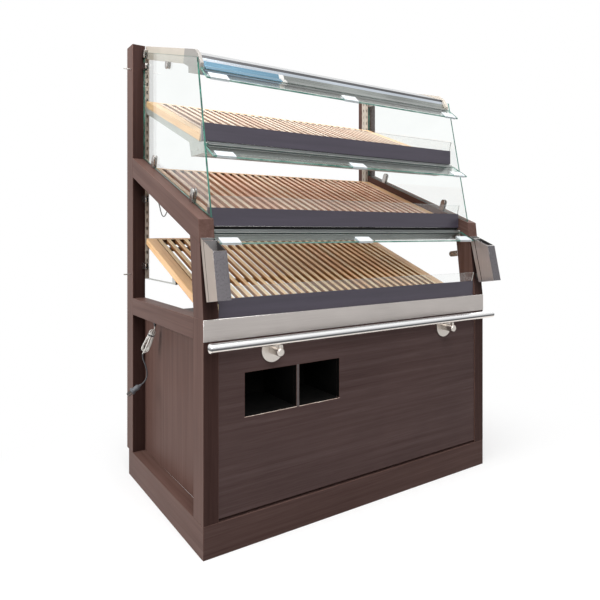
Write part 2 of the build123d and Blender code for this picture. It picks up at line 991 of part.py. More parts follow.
back_top, front_top, front_foot, back_foot = holder_side
holder_middle = half - post_width / 2
holder_near = holder_middle - holder_width / 2
holder_far = holder_middle + holder_width / 2
seam_top = between(back_top, front_top, holder_seam)
seam_foot = between(back_foot, front_foot, holder_seam)
holder_lean = (back_top[0] - back_foot[0]) / (back_top[1] - back_foot[1])


def shifted(point, forward, up):
    """A point moved up along the holder's lean and then forward."""
    return (point[0] - forward + up * holder_lean, point[1] + up)


box_cavity = (
    shifted(seam_top, holder_wall, 30),
    shifted(front_top, -holder_wall, 30),
    shifted(front_foot, -holder_wall, holder_wall),
    shifted(seam_foot, holder_wall, holder_wall),
)
channel_cavity = (
    shifted(back_top, holder_wall, 30),
    shifted(seam_top, -holder_wall, 30),
    shifted(seam_foot, -holder_wall, -30),
    shifted(back_foot, holder_wall, -30),
)
with BuildPart() as tong_holders:
    both_sides(holder_side, holder_near, holder_far)
    cavity_near = holder_near + holder_wall
    cavity_far = holder_far - holder_wall
    both_sides(box_cavity, cavity_near, cavity_far, Mode.SUBTRACT)
    both_sides(channel_cavity, cavity_near, cavity_far, Mode.SUBTRACT)


def holder_back(z):
    return back_foot[0] + (z - back_foot[1]) * holder_lean


spacer_top = spacer_foot + spacer_height
with BuildPart() as holder_spacers:
    both_sides(
        (
            (holder_back(spacer_foot), spacer_foot),
            (holder_back(spacer_top), spacer_top),
            ((spacer_top - cabinet_height) * lean, spacer_top),
            ((spacer_foot - cabinet_height) * lean, spacer_foot),
        ),
        holder_middle - spacer_width / 2,
        holder_middle + spacer_width / 2,
    )
write("tong_holders", tong_holders, holder_spacers)

# Screw heads on the trough faces and on the outer faces of the shelf arms
with BuildPart() as fasteners:
    for tier in ("mid", "upper"):
        face = Plane(
            origin=(0, back(fascia_front[tier] + 1), trough_top(tier) - 15),
            x_dir=(1, 0, 0),
            z_dir=(0, -1, 0),
        )
        with BuildSketch(face):
            with Locations(*[(x, 0) for x in screw_places]):
                Circle(screw_radius)
        extrude(amount=screw_head)
        for sign in (-1, 1):
            arm_face = Plane(
                origin=(sign * arm_outer, back(fascia_front[tier] + 60), trough_top(tier) - 20),
                x_dir=(0, 1, 0),
                z_dir=(sign, 0, 0),
            )
            with BuildSketch(arm_face):
                with Locations((-26, 0), (26, 0)):
                    Circle(screw_radius)
            extrude(amount=screw_head)
write("fasteners", fasteners)

# Pins on the left rear post that link a neighbouring station
with BuildPart() as link_pins:
    for pin_height in link_pin_heights:
        pin_plane = Plane(
            origin=(-half, back(link_pin_depth), pin_height), x_dir=(0, 1, 0), z_dir=(-1, 0, 0)
        )
        with BuildSketch(pin_plane):
            Circle(link_pin_radius)
        extrude(amount=link_pin_length)
write("link_pins", link_pins)

# Lamp driver screwed under the cabinet top
driver_x = driver_inset - room_half
driver_back = plinth_depth - driver_rear
with BuildPart() as lamp_driver:
    slab(
        driver_x,
        driver_x + driver_size[0],
        driver_back - driver_size[1],
        driver_back,
        top_foot - driver_size[2],
        top_foot,
    )
write("lamp_driver", lamp_driver)

# Mains lead: gland, upper lead, hank, tail and plug
lead_route = [lead_place(point) for point in lead_points]
tail_route = [lead_place(point) for point in tail_points]
gland_place = lead_route[0]
with BuildPart() as cord_gland:
    with BuildSketch(Plane.XY.offset(gland_place.Z)):
        with Locations((gland_place.X, gland_place.Y)):
            Circle(gland_radius)
    extrude(amount=gland_height)
write("cord_gland", cord_gland)


def cord_tube(route, radius):
    path = rounded_path(route)
    start = route[1] - route[0]
    cross = Vector(0, 1, 0) if abs(start.normalized().Y) < 0.9 else Vector(1, 0, 0)
    with BuildPart() as tube:
        with BuildLine():
            add(path)
        with BuildSketch(Plane(origin=route[0], x_dir=cross.cross(start), z_dir=start)):
            Circle(radius)
        sweep()
    return tube


write("supply_lead", cord_tube(lead_route, lead_radius))

hank_top = lead_route[-1]
hank_end = lead_place(hank_foot)
hank_axis = hank_end - hank_top
with BuildPart() as cord_hank:
    with BuildSketch(Plane(origin=hank_top, z_dir=hank_axis)):
        Circle(hank_radius)
    extrude(amount=hank_axis.length)
    fillet(cord_hank.edges().filter_by(GeomType.CIRCLE), hank_round)
write("cord_hank", cord_hank)

write("plug_lead", cord_tube(tail_route, tail_radius))

plug_axis = (tail_route[-1] - tail_route[-2]).normalized()
plug_start = Plane(origin=tail_route[-1], x_dir=(0, 1, plug_axis.Y / -plug_axis.Z), z_dir=plug_axis)
with BuildPart() as plug:
    with BuildSketch(plug_start):
        Circle(plug_radius * 0.5)
    with BuildSketch(plug_start.offset(plug_collar)):
        Circle(plug_radius)
    loft()
    with BuildSketch(plug_start.offset(plug_collar)):
        Circle(plug_radius)
    extrude(amount=plug_length - plug_collar)
    fillet(plug.edges().filter_by(GeomType.CIRCLE).sort_by(SortBy.LENGTH)[-1], 2)
    with BuildSketch(plug_start.offset(plug_length)):
        with PolarLocations(prong_circle, 3):
            Circle(prong_radius)
    extrude(amount=prong_length)
write("plug", plug)

# Light cable from the left standard to the middle trough
cable_x = cable_inset - half
cable_route = [Vector(cable_x, back(d), z) for d, z in cable_points]
write("light_cable", cord_tube(cable_route, cable_radius))
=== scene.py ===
import bpy, bmesh, json, math
from mathutils import Vector, Matrix

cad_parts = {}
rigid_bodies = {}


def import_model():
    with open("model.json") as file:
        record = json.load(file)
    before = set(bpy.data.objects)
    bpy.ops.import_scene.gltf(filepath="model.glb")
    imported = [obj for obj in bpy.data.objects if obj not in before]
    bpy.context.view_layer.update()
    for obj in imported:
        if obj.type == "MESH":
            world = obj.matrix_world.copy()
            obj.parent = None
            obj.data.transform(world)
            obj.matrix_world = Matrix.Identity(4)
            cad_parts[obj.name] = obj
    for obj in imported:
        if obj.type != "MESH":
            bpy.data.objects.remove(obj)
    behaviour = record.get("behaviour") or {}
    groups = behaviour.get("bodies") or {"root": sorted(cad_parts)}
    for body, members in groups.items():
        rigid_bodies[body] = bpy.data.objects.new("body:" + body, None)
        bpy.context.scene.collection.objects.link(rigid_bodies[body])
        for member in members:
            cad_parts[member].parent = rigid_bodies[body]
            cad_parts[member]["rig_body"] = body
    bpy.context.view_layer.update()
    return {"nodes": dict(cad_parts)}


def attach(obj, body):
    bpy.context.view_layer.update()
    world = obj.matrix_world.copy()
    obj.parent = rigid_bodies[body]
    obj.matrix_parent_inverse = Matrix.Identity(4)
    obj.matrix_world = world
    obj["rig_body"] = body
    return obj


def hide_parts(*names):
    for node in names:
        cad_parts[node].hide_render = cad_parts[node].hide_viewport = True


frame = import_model()
print("frame loaded", len(frame["nodes"]), "nodes")

# spot() takes a place in mm, from the left outer face, the front face and the floor
station = {"halfWidth": 625.0, "frontFace": 12.5}
rightWay, backWay, upWay = Vector((1, 0, 0)), Vector((0, 1, 0)), Vector((0, 0, 1))
slopeTurn = math.radians(21)  # how steeply the racks and the sloped rails rise to the rear


def spot(x, depth, height):
    return Vector(((x - station["halfWidth"]) / 1000, (depth - station["frontFace"]) / 1000, height / 1000))


def joinUp(tree, start, end):
    tree.links.new(start, end)


def feed(tree, socket, value):
    # a number or a colour is set on the socket; anything else is another node's output
    if isinstance(value, (float, int)):
        socket.default_value = value
    elif isinstance(value, tuple):
        socket.default_value = (*value, 1)
    else:
        joinUp(tree, value, socket)


def calculate(tree, operation, *values):
    node = tree.nodes.new("ShaderNodeMath")
    node.operation = operation
    for socket, value in zip(node.inputs, values):
        feed(tree, socket, value)
    return node.outputs[0]


def mixShaders(tree, share, first, second):
    mixer = tree.nodes.new("ShaderNodeMixShader")
    for socket, value in zip(mixer.inputs, (share, first, second)):
        feed(tree, socket, value)
    return mixer.outputs[0]


def mattShader(tree, colour):
    matt = tree.nodes.new("ShaderNodeBsdfDiffuse")
    feed(tree, matt.inputs["Color"], colour)
    return matt.outputs[0]


def seenRays(tree):
    # 1 for what the camera sees straight, through glass or mirrored, and 0 for light that bounces
    rays = tree.nodes.new("ShaderNodeLightPath").outputs
    straight = calculate(tree, "MAXIMUM", rays["Is Camera Ray"], rays["Is Transmission Ray"])
    return calculate(tree, "MAXIMUM", straight, rays["Is Glossy Ray"])


def spreadValue(tree, value, low, high, fromLow=0.3, fromHigh=0.7, easing="LINEAR"):
    ranger = tree.nodes.new("ShaderNodeMapRange")
    ranger.interpolation_type = easing
    for name, number in (("From Min", fromLow), ("From Max", fromHigh), ("To Min", low), ("To Max", high)):
        ranger.inputs[name].default_value = number
    joinUp(tree, value, ranger.inputs["Value"])
    return ranger.outputs["Result"]


def emptyFinish(name):
    material = bpy.data.materials.new(name)
    material.use_nodes = True
    tree = material.node_tree
    tree.nodes.remove(tree.nodes["Principled BSDF"])
    return material, tree


# the camera stands where the photograph was taken from
view = {"place": (-1.2956, -1.5824, 0.9691), "turn": -34.676, "focal": 34.085, "sensor": 36,
        "shiftX": -0.03205, "shiftY": -0.1124, "near": 0.05, "far": 60}
cameraData = bpy.data.cameras.new("showCamera")
cameraData.lens = view["focal"]
cameraData.sensor_width = view["sensor"]
cameraData.shift_x = view["shiftX"]
cameraData.shift_y = view["shiftY"]
cameraData.clip_start = view["near"]
cameraData.clip_end = view["far"]
camera = bpy.data.objects.new("showCamera", cameraData)
camera.location = view["place"]
camera.rotation_euler = (math.radians(90), 0, math.radians(view["turn"]))
bpy.context.scene.collection.objects.link(camera)
bpy.context.scene.camera = camera
bpy.context.scene.view_settings.view_transform = "Standard"

# each lamp: its power in watts, its size and its place in metres
light = {"sky": 0.14, "skyTint": (1, 0.99, 0.98), "backdrop": 1.0, "aim": (0, 0.3, 0.8),
         "side": (132, 2.6, (-4.4, 0.9, 1.9)), "top": (220, 3.0, (-0.8, -0.8, 4.9)),
         "front": (150, 3.2, (-0.8, -4.0, 3.7)), "right": (40, 2.4, (4.6, 0.6, 2.4))}


def softLamp(name, energy, size, place):
    lampData = bpy.data.lights.new(name, "AREA")
    lampData.energy = energy
    lampData.size = size
    lamp = bpy.data.objects.new(name, lampData)
    lamp.location = place
    aim = Vector(light["aim"]) - Vector(place)
    lamp.rotation_euler = aim.to_track_quat("-Z", "Y").to_euler()
    bpy.context.scene.collection.objects.link(lamp)


for lampName in ("side", "top", "front", "right"):
    softLamp(lampName + "Lamp", *light[lampName])

# a dim sky lights the station, and a white one shows behind it
world = bpy.data.worlds.new("studio")
bpy.context.scene.world = world
world.use_nodes = True
skyTree = world.node_tree
skyLight = skyTree.nodes["Background"]
skyShown = skyTree.nodes.new("ShaderNodeBackground")
for sky, colour, strength in ((skyLight, light["skyTint"], light["sky"]),
                              (skyShown, (1, 1, 1), light["backdrop"])):
    sky.inputs["Color"].default_value = (*colour, 1)
    sky.inputs["Strength"].default_value = strength
skyMix = mixShaders(skyTree, seenRays(skyTree), skyLight.outputs[0], skyShown.outputs[0])
joinUp(skyTree, skyMix, skyTree.nodes["World Output"].inputs["Surface"])

# pale floor: keeps a soft shadow near the station, fades to the backdrop, and lights the station little
floorLook = {"radius": 9, "sides": 64, "under": 0.0004, "shown": (0.9, 0.9, 0.9),
             "bounced": (0.34, 0.34, 0.34), "fadeFrom": 0.7, "fadeTo": 1.6, "glow": 0.55}
floorMesh = bmesh.new()
bmesh.ops.create_circle(floorMesh, cap_ends=True, radius=floorLook["radius"], segments=floorLook["sides"])
floorData = bpy.data.meshes.new("studioFloor")
floorMesh.to_mesh(floorData)
floorMesh.free()
floorPlane = bpy.data.objects.new("studioFloor", floorData)
floorPlane.location = (0, 0, -floorLook["under"])
bpy.context.scene.collection.objects.link(floorPlane)
floorPaint, floorTree = emptyFinish("floorPaint")
floorSpace = floorTree.nodes.new("ShaderNodeTexCoord")
floorReach = floorTree.nodes.new("ShaderNodeVectorMath")
floorReach.operation = "LENGTH"
joinUp(floorTree, floorSpace.outputs["Object"], floorReach.inputs[0])
floorFade = spreadValue(floorTree, floorReach.outputs["Value"], floorLook["glow"], 1.0,
                        floorLook["fadeFrom"], floorLook["fadeTo"], "SMOOTHSTEP")
floorGlow = floorTree.nodes.new("ShaderNodeEmission")
floorShown = mixShaders(floorTree, floorFade, mattShader(floorTree, floorLook["shown"]), floorGlow.outputs[0])
floorMix = mixShaders(floorTree, seenRays(floorTree), mattShader(floorTree, floorLook["bounced"]), floorShown)
joinUp(floorTree, floorMix, floorTree.nodes["Material Output"].inputs["Surface"])
floorData.materials.append(floorPaint)
print("camera, lamps and floor made")


# helpers for the finishes
def startFinish(name, colour, rough, metal=0.0, gloss=0.5):
    material = bpy.data.materials.new(name)
    material.use_nodes = True
    shader = material.node_tree.nodes["Principled BSDF"]
    shader.inputs["Base Color"].default_value = (*colour, 1)
    shader.inputs["Roughness"].default_value = rough
    shader.inputs["Metallic"].default_value = metal
    shader.inputs["Specular IOR Level"].default_value = gloss
    return material, material.node_tree, shader


def tinted(colour, shade):
    # shade is one number, or one for each of red, green and blue
    shades = shade if isinstance(shade, tuple) else (shade,) * 3
    return tuple(min(1, part * factor) for part, factor in zip(colour, shades))


def between(first, second, share=0.5):
    return tuple(a + (b - a) * share for a, b in zip(first, second))


def cloudy(tree, feature, turn=(0, 0, 0), detail=4.0, twist=0.0, rough=0.55):
    # noise; feature is the size of its pattern along each axis, in metres
    coordinates = tree.nodes.new("ShaderNodeTexCoord")
    placing = tree.nodes.new("ShaderNodeMapping")
    placing.vector_type = "TEXTURE"
    placing.inputs["Scale"].default_value = feature
    placing.inputs["Rotation"].default_value = turn
    joinUp(tree, coordinates.outputs["Object"], placing.inputs["Vector"])
    noise = tree.nodes.new("ShaderNodeTexNoise")
    noise.inputs["Scale"].default_value = 1.0
    noise.inputs["Detail"].default_value = detail
    noise.inputs["Roughness"].default_value = rough
    noise.inputs["Distortion"].default_value = twist
    joinUp(tree, placing.outputs["Vector"], noise.inputs["Vector"])
    return noise.outputs["Fac"]


def streaky(tree, way, thin, long, detail=4.0, twist=0.0, rough=0.55):
    # noise drawn out up, across, back, or back along the slope
    longAxis = {"across": 0, "back": 1, "slope": 1, "up": 2}[way]
    feature = tuple(long if axis == longAxis else thin for axis in range(3))
    return cloudy(tree, feature, (slopeTurn, 0, 0) if way == "slope" else (0, 0, 0), detail, twist, rough)


def placeAlong(tree, axis):
    coordinates = tree.nodes.new("ShaderNodeTexCoord")
    parts = tree.nodes.new("ShaderNodeSeparateXYZ")
    joinUp(tree, coordinates.outputs["Object"], parts.inputs[0])
    return parts.outputs[axis]


def tones(tree, factor, steps):
    ramp = tree.nodes.new("ShaderNodeValToRGB")
    while len(ramp.color_ramp.elements) < len(steps):
        ramp.color_ramp.elements.new(0.5)
    for element, (place, colour) in zip(ramp.color_ramp.elements, steps):
        element.position = place
        element.color = (*colour, 1)
    joinUp(tree, factor, ramp.inputs["Fac"])
    return ramp.outputs["Color"]


def blendColours(tree, factor, first, second, kind="MULTIPLY"):
    mixer = tree.nodes.new("ShaderNodeMix")
    mixer.data_type = "RGBA"
    mixer.blend_type = kind
    for name, value in (("Factor", factor), ("A", first), ("B", second)):
        feed(tree, mixer.inputs[name], value)
    return mixer.outputs["Result"]


def dress(tree, shader, colour, grain, rough, strength, depth):
    # the finish's colour, with a roughness and a relief that follow its grain
    joinUp(tree, colour, shader.inputs["Base Color"])
    joinUp(tree, spreadValue(tree, grain, *rough), shader.inputs["Roughness"])
    bump = tree.nodes.new("ShaderNodeBump")
    bump.inputs["Strength"].default_value = strength
    bump.inputs["Distance"].default_value = depth
    joinUp(tree, grain, bump.inputs["Height"])
    joinUp(tree, bump.outputs["Normal"], shader.inputs["Normal"])


# dark wood laminate: streaks, finer fibres and faint clouds, with bare chips on worn edges
laminate = {"dark": (0.098, 0.053, 0.044), "mid": (0.128, 0.074, 0.062), "light": (0.158, 0.096, 0.082),
            "grain": (0.014, 0.7), "fibre": 0.12, "fibreShade": (0.80, 0.78, 0.77), "fibreShare": 0.8,
            "cloud": 0.35, "cloudShades": ((0.90, 0.88, 0.88), (1.08, 1.05, 1.04)), "cloudShare": 0.7,
            "chip": (0.42, 0.31, 0.25), "chipSize": 0.016, "chipFrom": 0.72, "chipEdge": 0.04,
            "chipWear": 0.2, "rough": (0.38, 0.50), "gloss": 0.06, "relief": 0.35, "pore": 0.0002}


def laminateFinish(name, along, shade=(1.0, 1.0, 1.0), worn=0.0):
    material, tree, shader = startFinish(name, laminate["mid"], 0.42, 0.0, laminate["gloss"])
    thin, long = laminate["grain"]
    streaks = streaky(tree, along, thin, long, 5.0, 0.6)
    fibres = streaky(tree, along, thin * laminate["fibre"], long * laminate["fibre"], 3.0)
    colour = tones(tree, streaks, [(place, tinted(laminate[tone], shade))
                                   for place, tone in ((0.26, "dark"), (0.52, "mid"), (0.80, "light"))])
    fibreTone = tones(tree, fibres, [(0.32, laminate["fibreShade"]), (0.62, (1.0, 1.0, 1.0))])
    colour = blendColours(tree, laminate["fibreShare"], colour, fibreTone)
    clouds = cloudy(tree, (laminate["cloud"],) * 3, detail=2.0)
    colour = blendColours(tree, laminate["cloudShare"], colour,
                          tones(tree, clouds, list(zip((0.35, 0.65), laminate["cloudShades"]))))
    if worn:
        chipFrom = laminate["chipFrom"] - laminate["chipWear"] * worn
        chips = tones(tree, cloudy(tree, (laminate["chipSize"],) * 3, detail=5.0),
                      [(chipFrom, (0, 0, 0)), (chipFrom + laminate["chipEdge"], (1, 1, 1))])
        colour = blendColours(tree, chips, colour, laminate["chip"], "MIX")
    dress(tree, shader, colour, fibres, laminate["rough"], laminate["relief"], laminate["pore"])
    return material


laminateUp = laminateFinish("laminateUp", "up")
# a darker copy of the laminate, grain across: painted shade on the plinth front and the cabinet floor and top
laminateAcrossShaded = laminateFinish("laminateAcrossShaded", "across", (0.66, 0.68, 0.72))
# a much darker copy of the laminate: painted shade for the posts' front faces
laminatePaintedShade = laminateFinish("laminatePaintedShade", "up", (0.36, 0.32, 0.33))
# a darker, greyer copy of the laminate for the front panel: its darkness is painted shade and its grey cast a
# painted sheen
laminatePanel = laminateFinish("laminatePanel", "across", (0.66, 0.74, 0.84))
laminateBack = laminateFinish("laminateBack", "back")
laminateSlope = laminateFinish("laminateSlope", "slope")
edgeShade = (1.1, 1.1, 1.1)
edgeUp = laminateFinish("laminateEdgeUp", "up", edgeShade, 0.12)
edgeAcross = laminateFinish("laminateEdgeAcross", "across", (0.85, 0.85, 0.85), 0.18)
edgeBack = laminateFinish("laminateEdgeBack", "back", edgeShade, 0.12)
edgeSlope = laminateFinish("laminateEdgeSlope", "slope", edgeShade, 0.08)


def mottledFinish(name, colour, rough, gloss, feature, detail, steps):
    material, tree, shader = startFinish(name, colour, rough, 0.0, gloss)
    joinUp(tree, tones(tree, cloudy(tree, feature, detail=detail), steps), shader.inputs["Base Color"])
    return material


bareEdge = mottledFinish("nicheBareEdge", (0.42, 0.30, 0.22), 0.6, 0.5, (0.03, 0.004, 0.004), 5.0,
                         [(0.34, (0.42, 0.29, 0.24)), (0.55, (0.72, 0.58, 0.49)), (0.72, (0.88, 0.76, 0.66))])
# near-black for the insides of the niche holes and boxes: painted shade
nicheShadeBlack = mottledFinish("nicheShadeBlack", (0.004, 0.004, 0.004), 0.8, 0.08, (0.05, 0.05, 0.05), 4.0,
                           [(0.3, (0.002, 0.002, 0.002)), (0.7, (0.006, 0.0055, 0.005))])

# brushed metal: fine lines along one way, or an even grain when it is round, under soft clouds
brushed = {"line": (0.0011, 0.16), "round": 0.004, "cloud": (0.22, 0.12, 0.12),
           "smoother": 0.07, "rougher": 0.09, "relief": 0.25, "depth": 0.00012}


def steelFinish(name, colour, rough, along, streak=0.10, soft=0.12):
    material, tree, shader = startFinish(name, colour, rough, 1.0)
    if along == "round":
        lines = cloudy(tree, (brushed["round"],) * 3, rough=0.7)
    else:
        lines = streaky(tree, along, *brushed["line"], rough=0.7)
    clouds = cloudy(tree, brushed["cloud"], detail=2.0)
    lineTone = tones(tree, lines, [(0.28, tinted(colour, 1 - streak)), (0.72, tinted(colour, 1 + streak))])
    cloudTone = tones(tree, clouds, [(0.32, (1 - soft,) * 3), (0.68, (1.0, 1.0, 1.0))])
    dress(tree, shader, blendColours(tree, 1.0, lineTone, cloudTone), lines,
          (rough - brushed["smoother"], rough + brushed["rougher"]), brushed["relief"], brushed["depth"])
    return material


apronSteel = steelFinish("apronSteel", (0.46, 0.425, 0.405), 0.38, "across")
# pale steel for eased edges and rims: a painted highlight
paintedEdgeHighlight = steelFinish("paintedEdgeHighlight", (0.86, 0.84, 0.82), 0.24, "across", 0.05)
holderSide = steelFinish("holderSide", (0.42, 0.355, 0.31), 0.34, "up", 0.06)
holderFront = steelFinish("holderFront", (0.145, 0.136, 0.145), 0.30, "up", 0.06)
holderInside = steelFinish("holderInside", (0.115, 0.11, 0.11), 0.42, "up")
holderInner = steelFinish("holderInner", (0.48, 0.44, 0.44), 0.34, "up", 0.12)
darkSeam = steelFinish("darkSeam", (0.03, 0.028, 0.028), 0.5, "round")
troughSteel = steelFinish("troughSteel", (0.27, 0.275, 0.262), 0.38, "across", 0.06)
canopySteel = steelFinish("canopySteel", (0.50, 0.51, 0.52), 0.30, "across")
canopyBand = steelFinish("canopyBand", (0.56, 0.61, 0.67), 0.24, "across", 0.08)
canopyFold = steelFinish("canopyFold", (0.12, 0.12, 0.125), 0.34, "across", 0.15)
canopyLensBlue = steelFinish("canopyLensBlue", (0.20, 0.36, 0.48), 0.22, "across", 0.08)
canopyLensGrey = steelFinish("canopyLensGrey", (0.34, 0.36, 0.345), 0.26, "across", 0.16, 0.3)
canopyLensBar = steelFinish("canopyLensBar", (0.90, 0.88, 0.85), 0.30, "up", 0.05)
fittingSteel = steelFinish("fittingSteel", (0.62, 0.575, 0.53), 0.34, "round", 0.06, 0.2)
fittingRim = steelFinish("fittingRim", (0.34, 0.32, 0.31), 0.26, "round", 0.1)
knobSteel = steelFinish("knobSteel", (0.50, 0.48, 0.46), 0.22, "round", 0.2, 0.3)
railAluminium = steelFinish("railAluminium", (0.34, 0.36, 0.35), 0.36, "across", 0.06)
pinSteel = steelFinish("pinSteel", (0.5, 0.48, 0.46), 0.3, "round", 0.06)
bladeSteel = steelFinish("bladeSteel", (0.11, 0.105, 0.10), 0.4, "round", 0.1)

# polished tube: painted reflections and shade run up the round as tones, a light foot, a dark band below the
# middle and a bright top, between its lowest and highest line in metres
tube = {"foot": 0.620, "top": 0.648, "lineShade": (0.90, 0.90, 0.90), "rough": (0.16, 0.28),
        "relief": 0.2, "depth": 0.0001,
        "tones": [(0.0, (0.92, 0.86, 0.80)), (0.26, (0.86, 0.80, 0.75)), (0.34, (0.09, 0.09, 0.09)),
                  (0.47, (0.12, 0.12, 0.125)), (0.60, (0.66, 0.66, 0.67)), (0.76, (0.95, 0.95, 0.95)),
                  (1.0, (0.82, 0.82, 0.82))]}
tubeSteelPaintedReflections, tubeTree, tubeShader = startFinish("tubeSteelPaintedReflections", (0.6, 0.6, 0.6), 0.22, 1.0)
tubeReflectionClimb = spreadValue(tubeTree, placeAlong(tubeTree, "Z"), 0.0, 1.0, tube["foot"], tube["top"])
tubeLines = streaky(tubeTree, "across", *brushed["line"], rough=0.7)
tubePaintedReflectionTone = blendColours(tubeTree, 1.0, tones(tubeTree, tubeReflectionClimb, tube["tones"]),
                        tones(tubeTree, tubeLines, [(0.3, tube["lineShade"]), (0.7, (1.0, 1.0, 1.0))]))
dress(tubeTree, tubeShader, tubePaintedReflectionTone, tubeLines, tube["rough"], tube["relief"], tube["depth"])

# paint, plastic and rubber: a mottle of its own grain, and specks that break up the gloss
speckled = {"size": 0.0016, "smoother": 0.05, "rougher": 0.07, "relief": 0.12, "depth": 0.0001}


def paintedFinish(name, colour, rough, mottle=0.08, gloss=0.5, grain=(0.12, 0.12, 0.12)):
    material, tree, shader = startFinish(name, colour, rough, 0.0, gloss)
    clouds = cloudy(tree, grain, detail=5.0)
    specks = cloudy(tree, (speckled["size"],) * 3, detail=2.0)
    tone = tones(tree, clouds, [(0.3, tinted(colour, 1 - mottle)), (0.7, tinted(colour, 1 + mottle))])
    dress(tree, shader, tone, specks, (rough - speckled["smoother"], rough + speckled["rougher"]),
          speckled["relief"], speckled["depth"])
    return material


channelPaint = paintedFinish("channelPaint", (0.050, 0.043, 0.060), 0.36, 0.12, 0.4, (0.3, 0.02, 0.02))
# near-black: painted shadow on the troughs' upstands under the channels
gapShadowBlack = paintedFinish("gapShadowBlack", (0.006, 0.006, 0.006), 0.7, 0.1, 0.1)
dividerGrey = paintedFinish("dividerGrey", (0.09, 0.075, 0.075), 0.5, 0.12, 0.3, (0.01, 0.01, 0.05))
beigePaint = paintedFinish("beigePaint", (0.56, 0.50, 0.43), 0.42, 0.05)
armPaint = paintedFinish("armPaint", (0.47, 0.48, 0.45), 0.40, 0.06)
padPaint = paintedFinish("padPaint", (0.055, 0.058, 0.056), 0.5, 0.1)
platePaint = paintedFinish("platePaint", (0.31, 0.29, 0.27), 0.40, 0.06)
opalPlastic = paintedFinish("opalPlastic", (0.62, 0.64, 0.64), 0.30, 0.08, 0.5, (0.4, 0.1, 0.1))
lampPlastic = paintedFinish("lampPlastic", (0.85, 0.82, 0.70), 0.45, 0.03)
driverPlastic = paintedFinish("driverPlastic", (0.80, 0.80, 0.78), 0.50, 0.03)
leadRubber = paintedFinish("leadRubber", (0.045, 0.045, 0.050), 0.48, 0.15, 0.5, (0.02, 0.02, 0.02))
plugRubber = paintedFinish("plugRubber", (0.095, 0.100, 0.112), 0.50, 0.12, 0.45, (0.012, 0.012, 0.012))
whiteLead = paintedFinish("whiteLead", (0.80, 0.78, 0.74), 0.42, 0.08, 0.5, (0.02, 0.02, 0.02))
cableGrey = paintedFinish("cableGrey", (0.16, 0.16, 0.15), 0.5, 0.1)

# slat wood: each slat draws its board colour by its place across the rack, and side darkens its flanks as
# painted shade; the tiers' tones differ with their wood, and the lower and mid tiers' are also raised as
# painted light under the racks above
rackWood = {
    "lower": {"pale": (1.0, 0.84, 0.56), "warm": (1.0, 0.76, 0.46), "brown": (0.96, 0.65, 0.37),
              "side": (0.50, 0.29, 0.16), "seed": 3.1},
    "mid": {"pale": (1.0, 0.82, 0.63), "warm": (1.0, 0.74, 0.56), "brown": (0.94, 0.62, 0.45),
            "side": (0.58, 0.35, 0.24), "seed": 17.7},
    "upper": {"pale": (0.93, 0.79, 0.65), "warm": (0.88, 0.69, 0.54), "brown": (0.78, 0.56, 0.42),
              "side": (0.56, 0.38, 0.30), "seed": 31.3},
}
slats = {"step": 0.03607, "start": 0.541, "grain": (0.0035, 0.20), "rough": (0.40, 0.60), "relief": 0.4,
         "depth": 0.0003, "edge": 0.0009}


def slatFinish(tier, part):
    wood = rackWood[tier]
    material, tree, shader = startFinish(tier + "Slat" + part, wood["warm"], 0.5, 0.0, 0.3)
    countAcross = calculate(tree, "MULTIPLY_ADD", placeAlong(tree, "X"), 1 / slats["step"],
                            slats["start"] / slats["step"])
    ownNumber = calculate(tree, "ADD", calculate(tree, "FLOOR", countAcross), wood["seed"])
    chance = tree.nodes.new("ShaderNodeTexWhiteNoise")
    chance.noise_dimensions = "1D"
    joinUp(tree, ownNumber, chance.inputs["W"])
    boardTone = tones(tree, chance.outputs["Value"],
                      [(0.0, wood["brown"]), (0.35, wood["warm"]), (1.0, wood["pale"])])
    grain = streaky(tree, "slope", *slats["grain"], 5.0, 0.8)
    grainTone = tones(tree, grain, [(0.30, (0.84, 0.76, 0.67)), (0.48, (0.98, 0.96, 0.94)),
                                    (0.70, (1.0, 1.0, 1.0))])
    colour = blendColours(tree, 0.8, boardTone, grainTone)
    # the flanks are darkened: painted shade
    if part == "Side":
        colour = blendColours(tree, 1.0, colour, wood["side"])
    dress(tree, shader, colour, grain, slats["rough"], slats["relief"], slats["depth"])
    return material


boardWood = {"grain": (0.010, 0.45), "fibre": (0.0012, 0.06), "fibreShade": (0.86, 0.82, 0.78),
             "rough": (0.38, 0.55), "relief": 0.3, "depth": 0.0002}


def boardFinish(name, pale, brown):
    material, tree, shader = startFinish(name, pale, 0.45, 0.0, 0.4)
    grain = streaky(tree, "slope", *boardWood["grain"], 6.0, 1.2)
    fibres = streaky(tree, "slope", *boardWood["fibre"], 3.0)
    tone = tones(tree, grain, [(0.30, brown), (0.48, between(brown, pale, 2 / 3)), (0.72, pale)])
    fibreTone = tones(tree, fibres, [(0.3, boardWood["fibreShade"]), (0.6, (1, 1, 1))])
    dress(tree, shader, blendColours(tree, 0.8, tone, fibreTone), fibres, boardWood["rough"],
          boardWood["relief"], boardWood["depth"])
    return material


rackBoardWood = boardFinish("rackBoardWood", (1.0, 0.68, 0.38), (0.84, 0.50, 0.25))
# nearly black brown: painted shade on the cross bars and the rear rail's front
rackShadowWood = boardFinish("rackShadowWood", (0.16, 0.085, 0.045), (0.08, 0.042, 0.024))

# thin clear sheet: it mirrors more towards grazing and lets the rest straight through
clearSheet = {"smear": (0.22, 0.22, 0.10), "smearTint": 0.985, "smearRough": 0.05,
              "mirrorTint": (0.97, 0.98, 0.98), "grazing": 0.8, "steepness": 5.0,
              "veil": ((0.84, 0.88, 0.91), (0.93, 0.95, 0.96))}


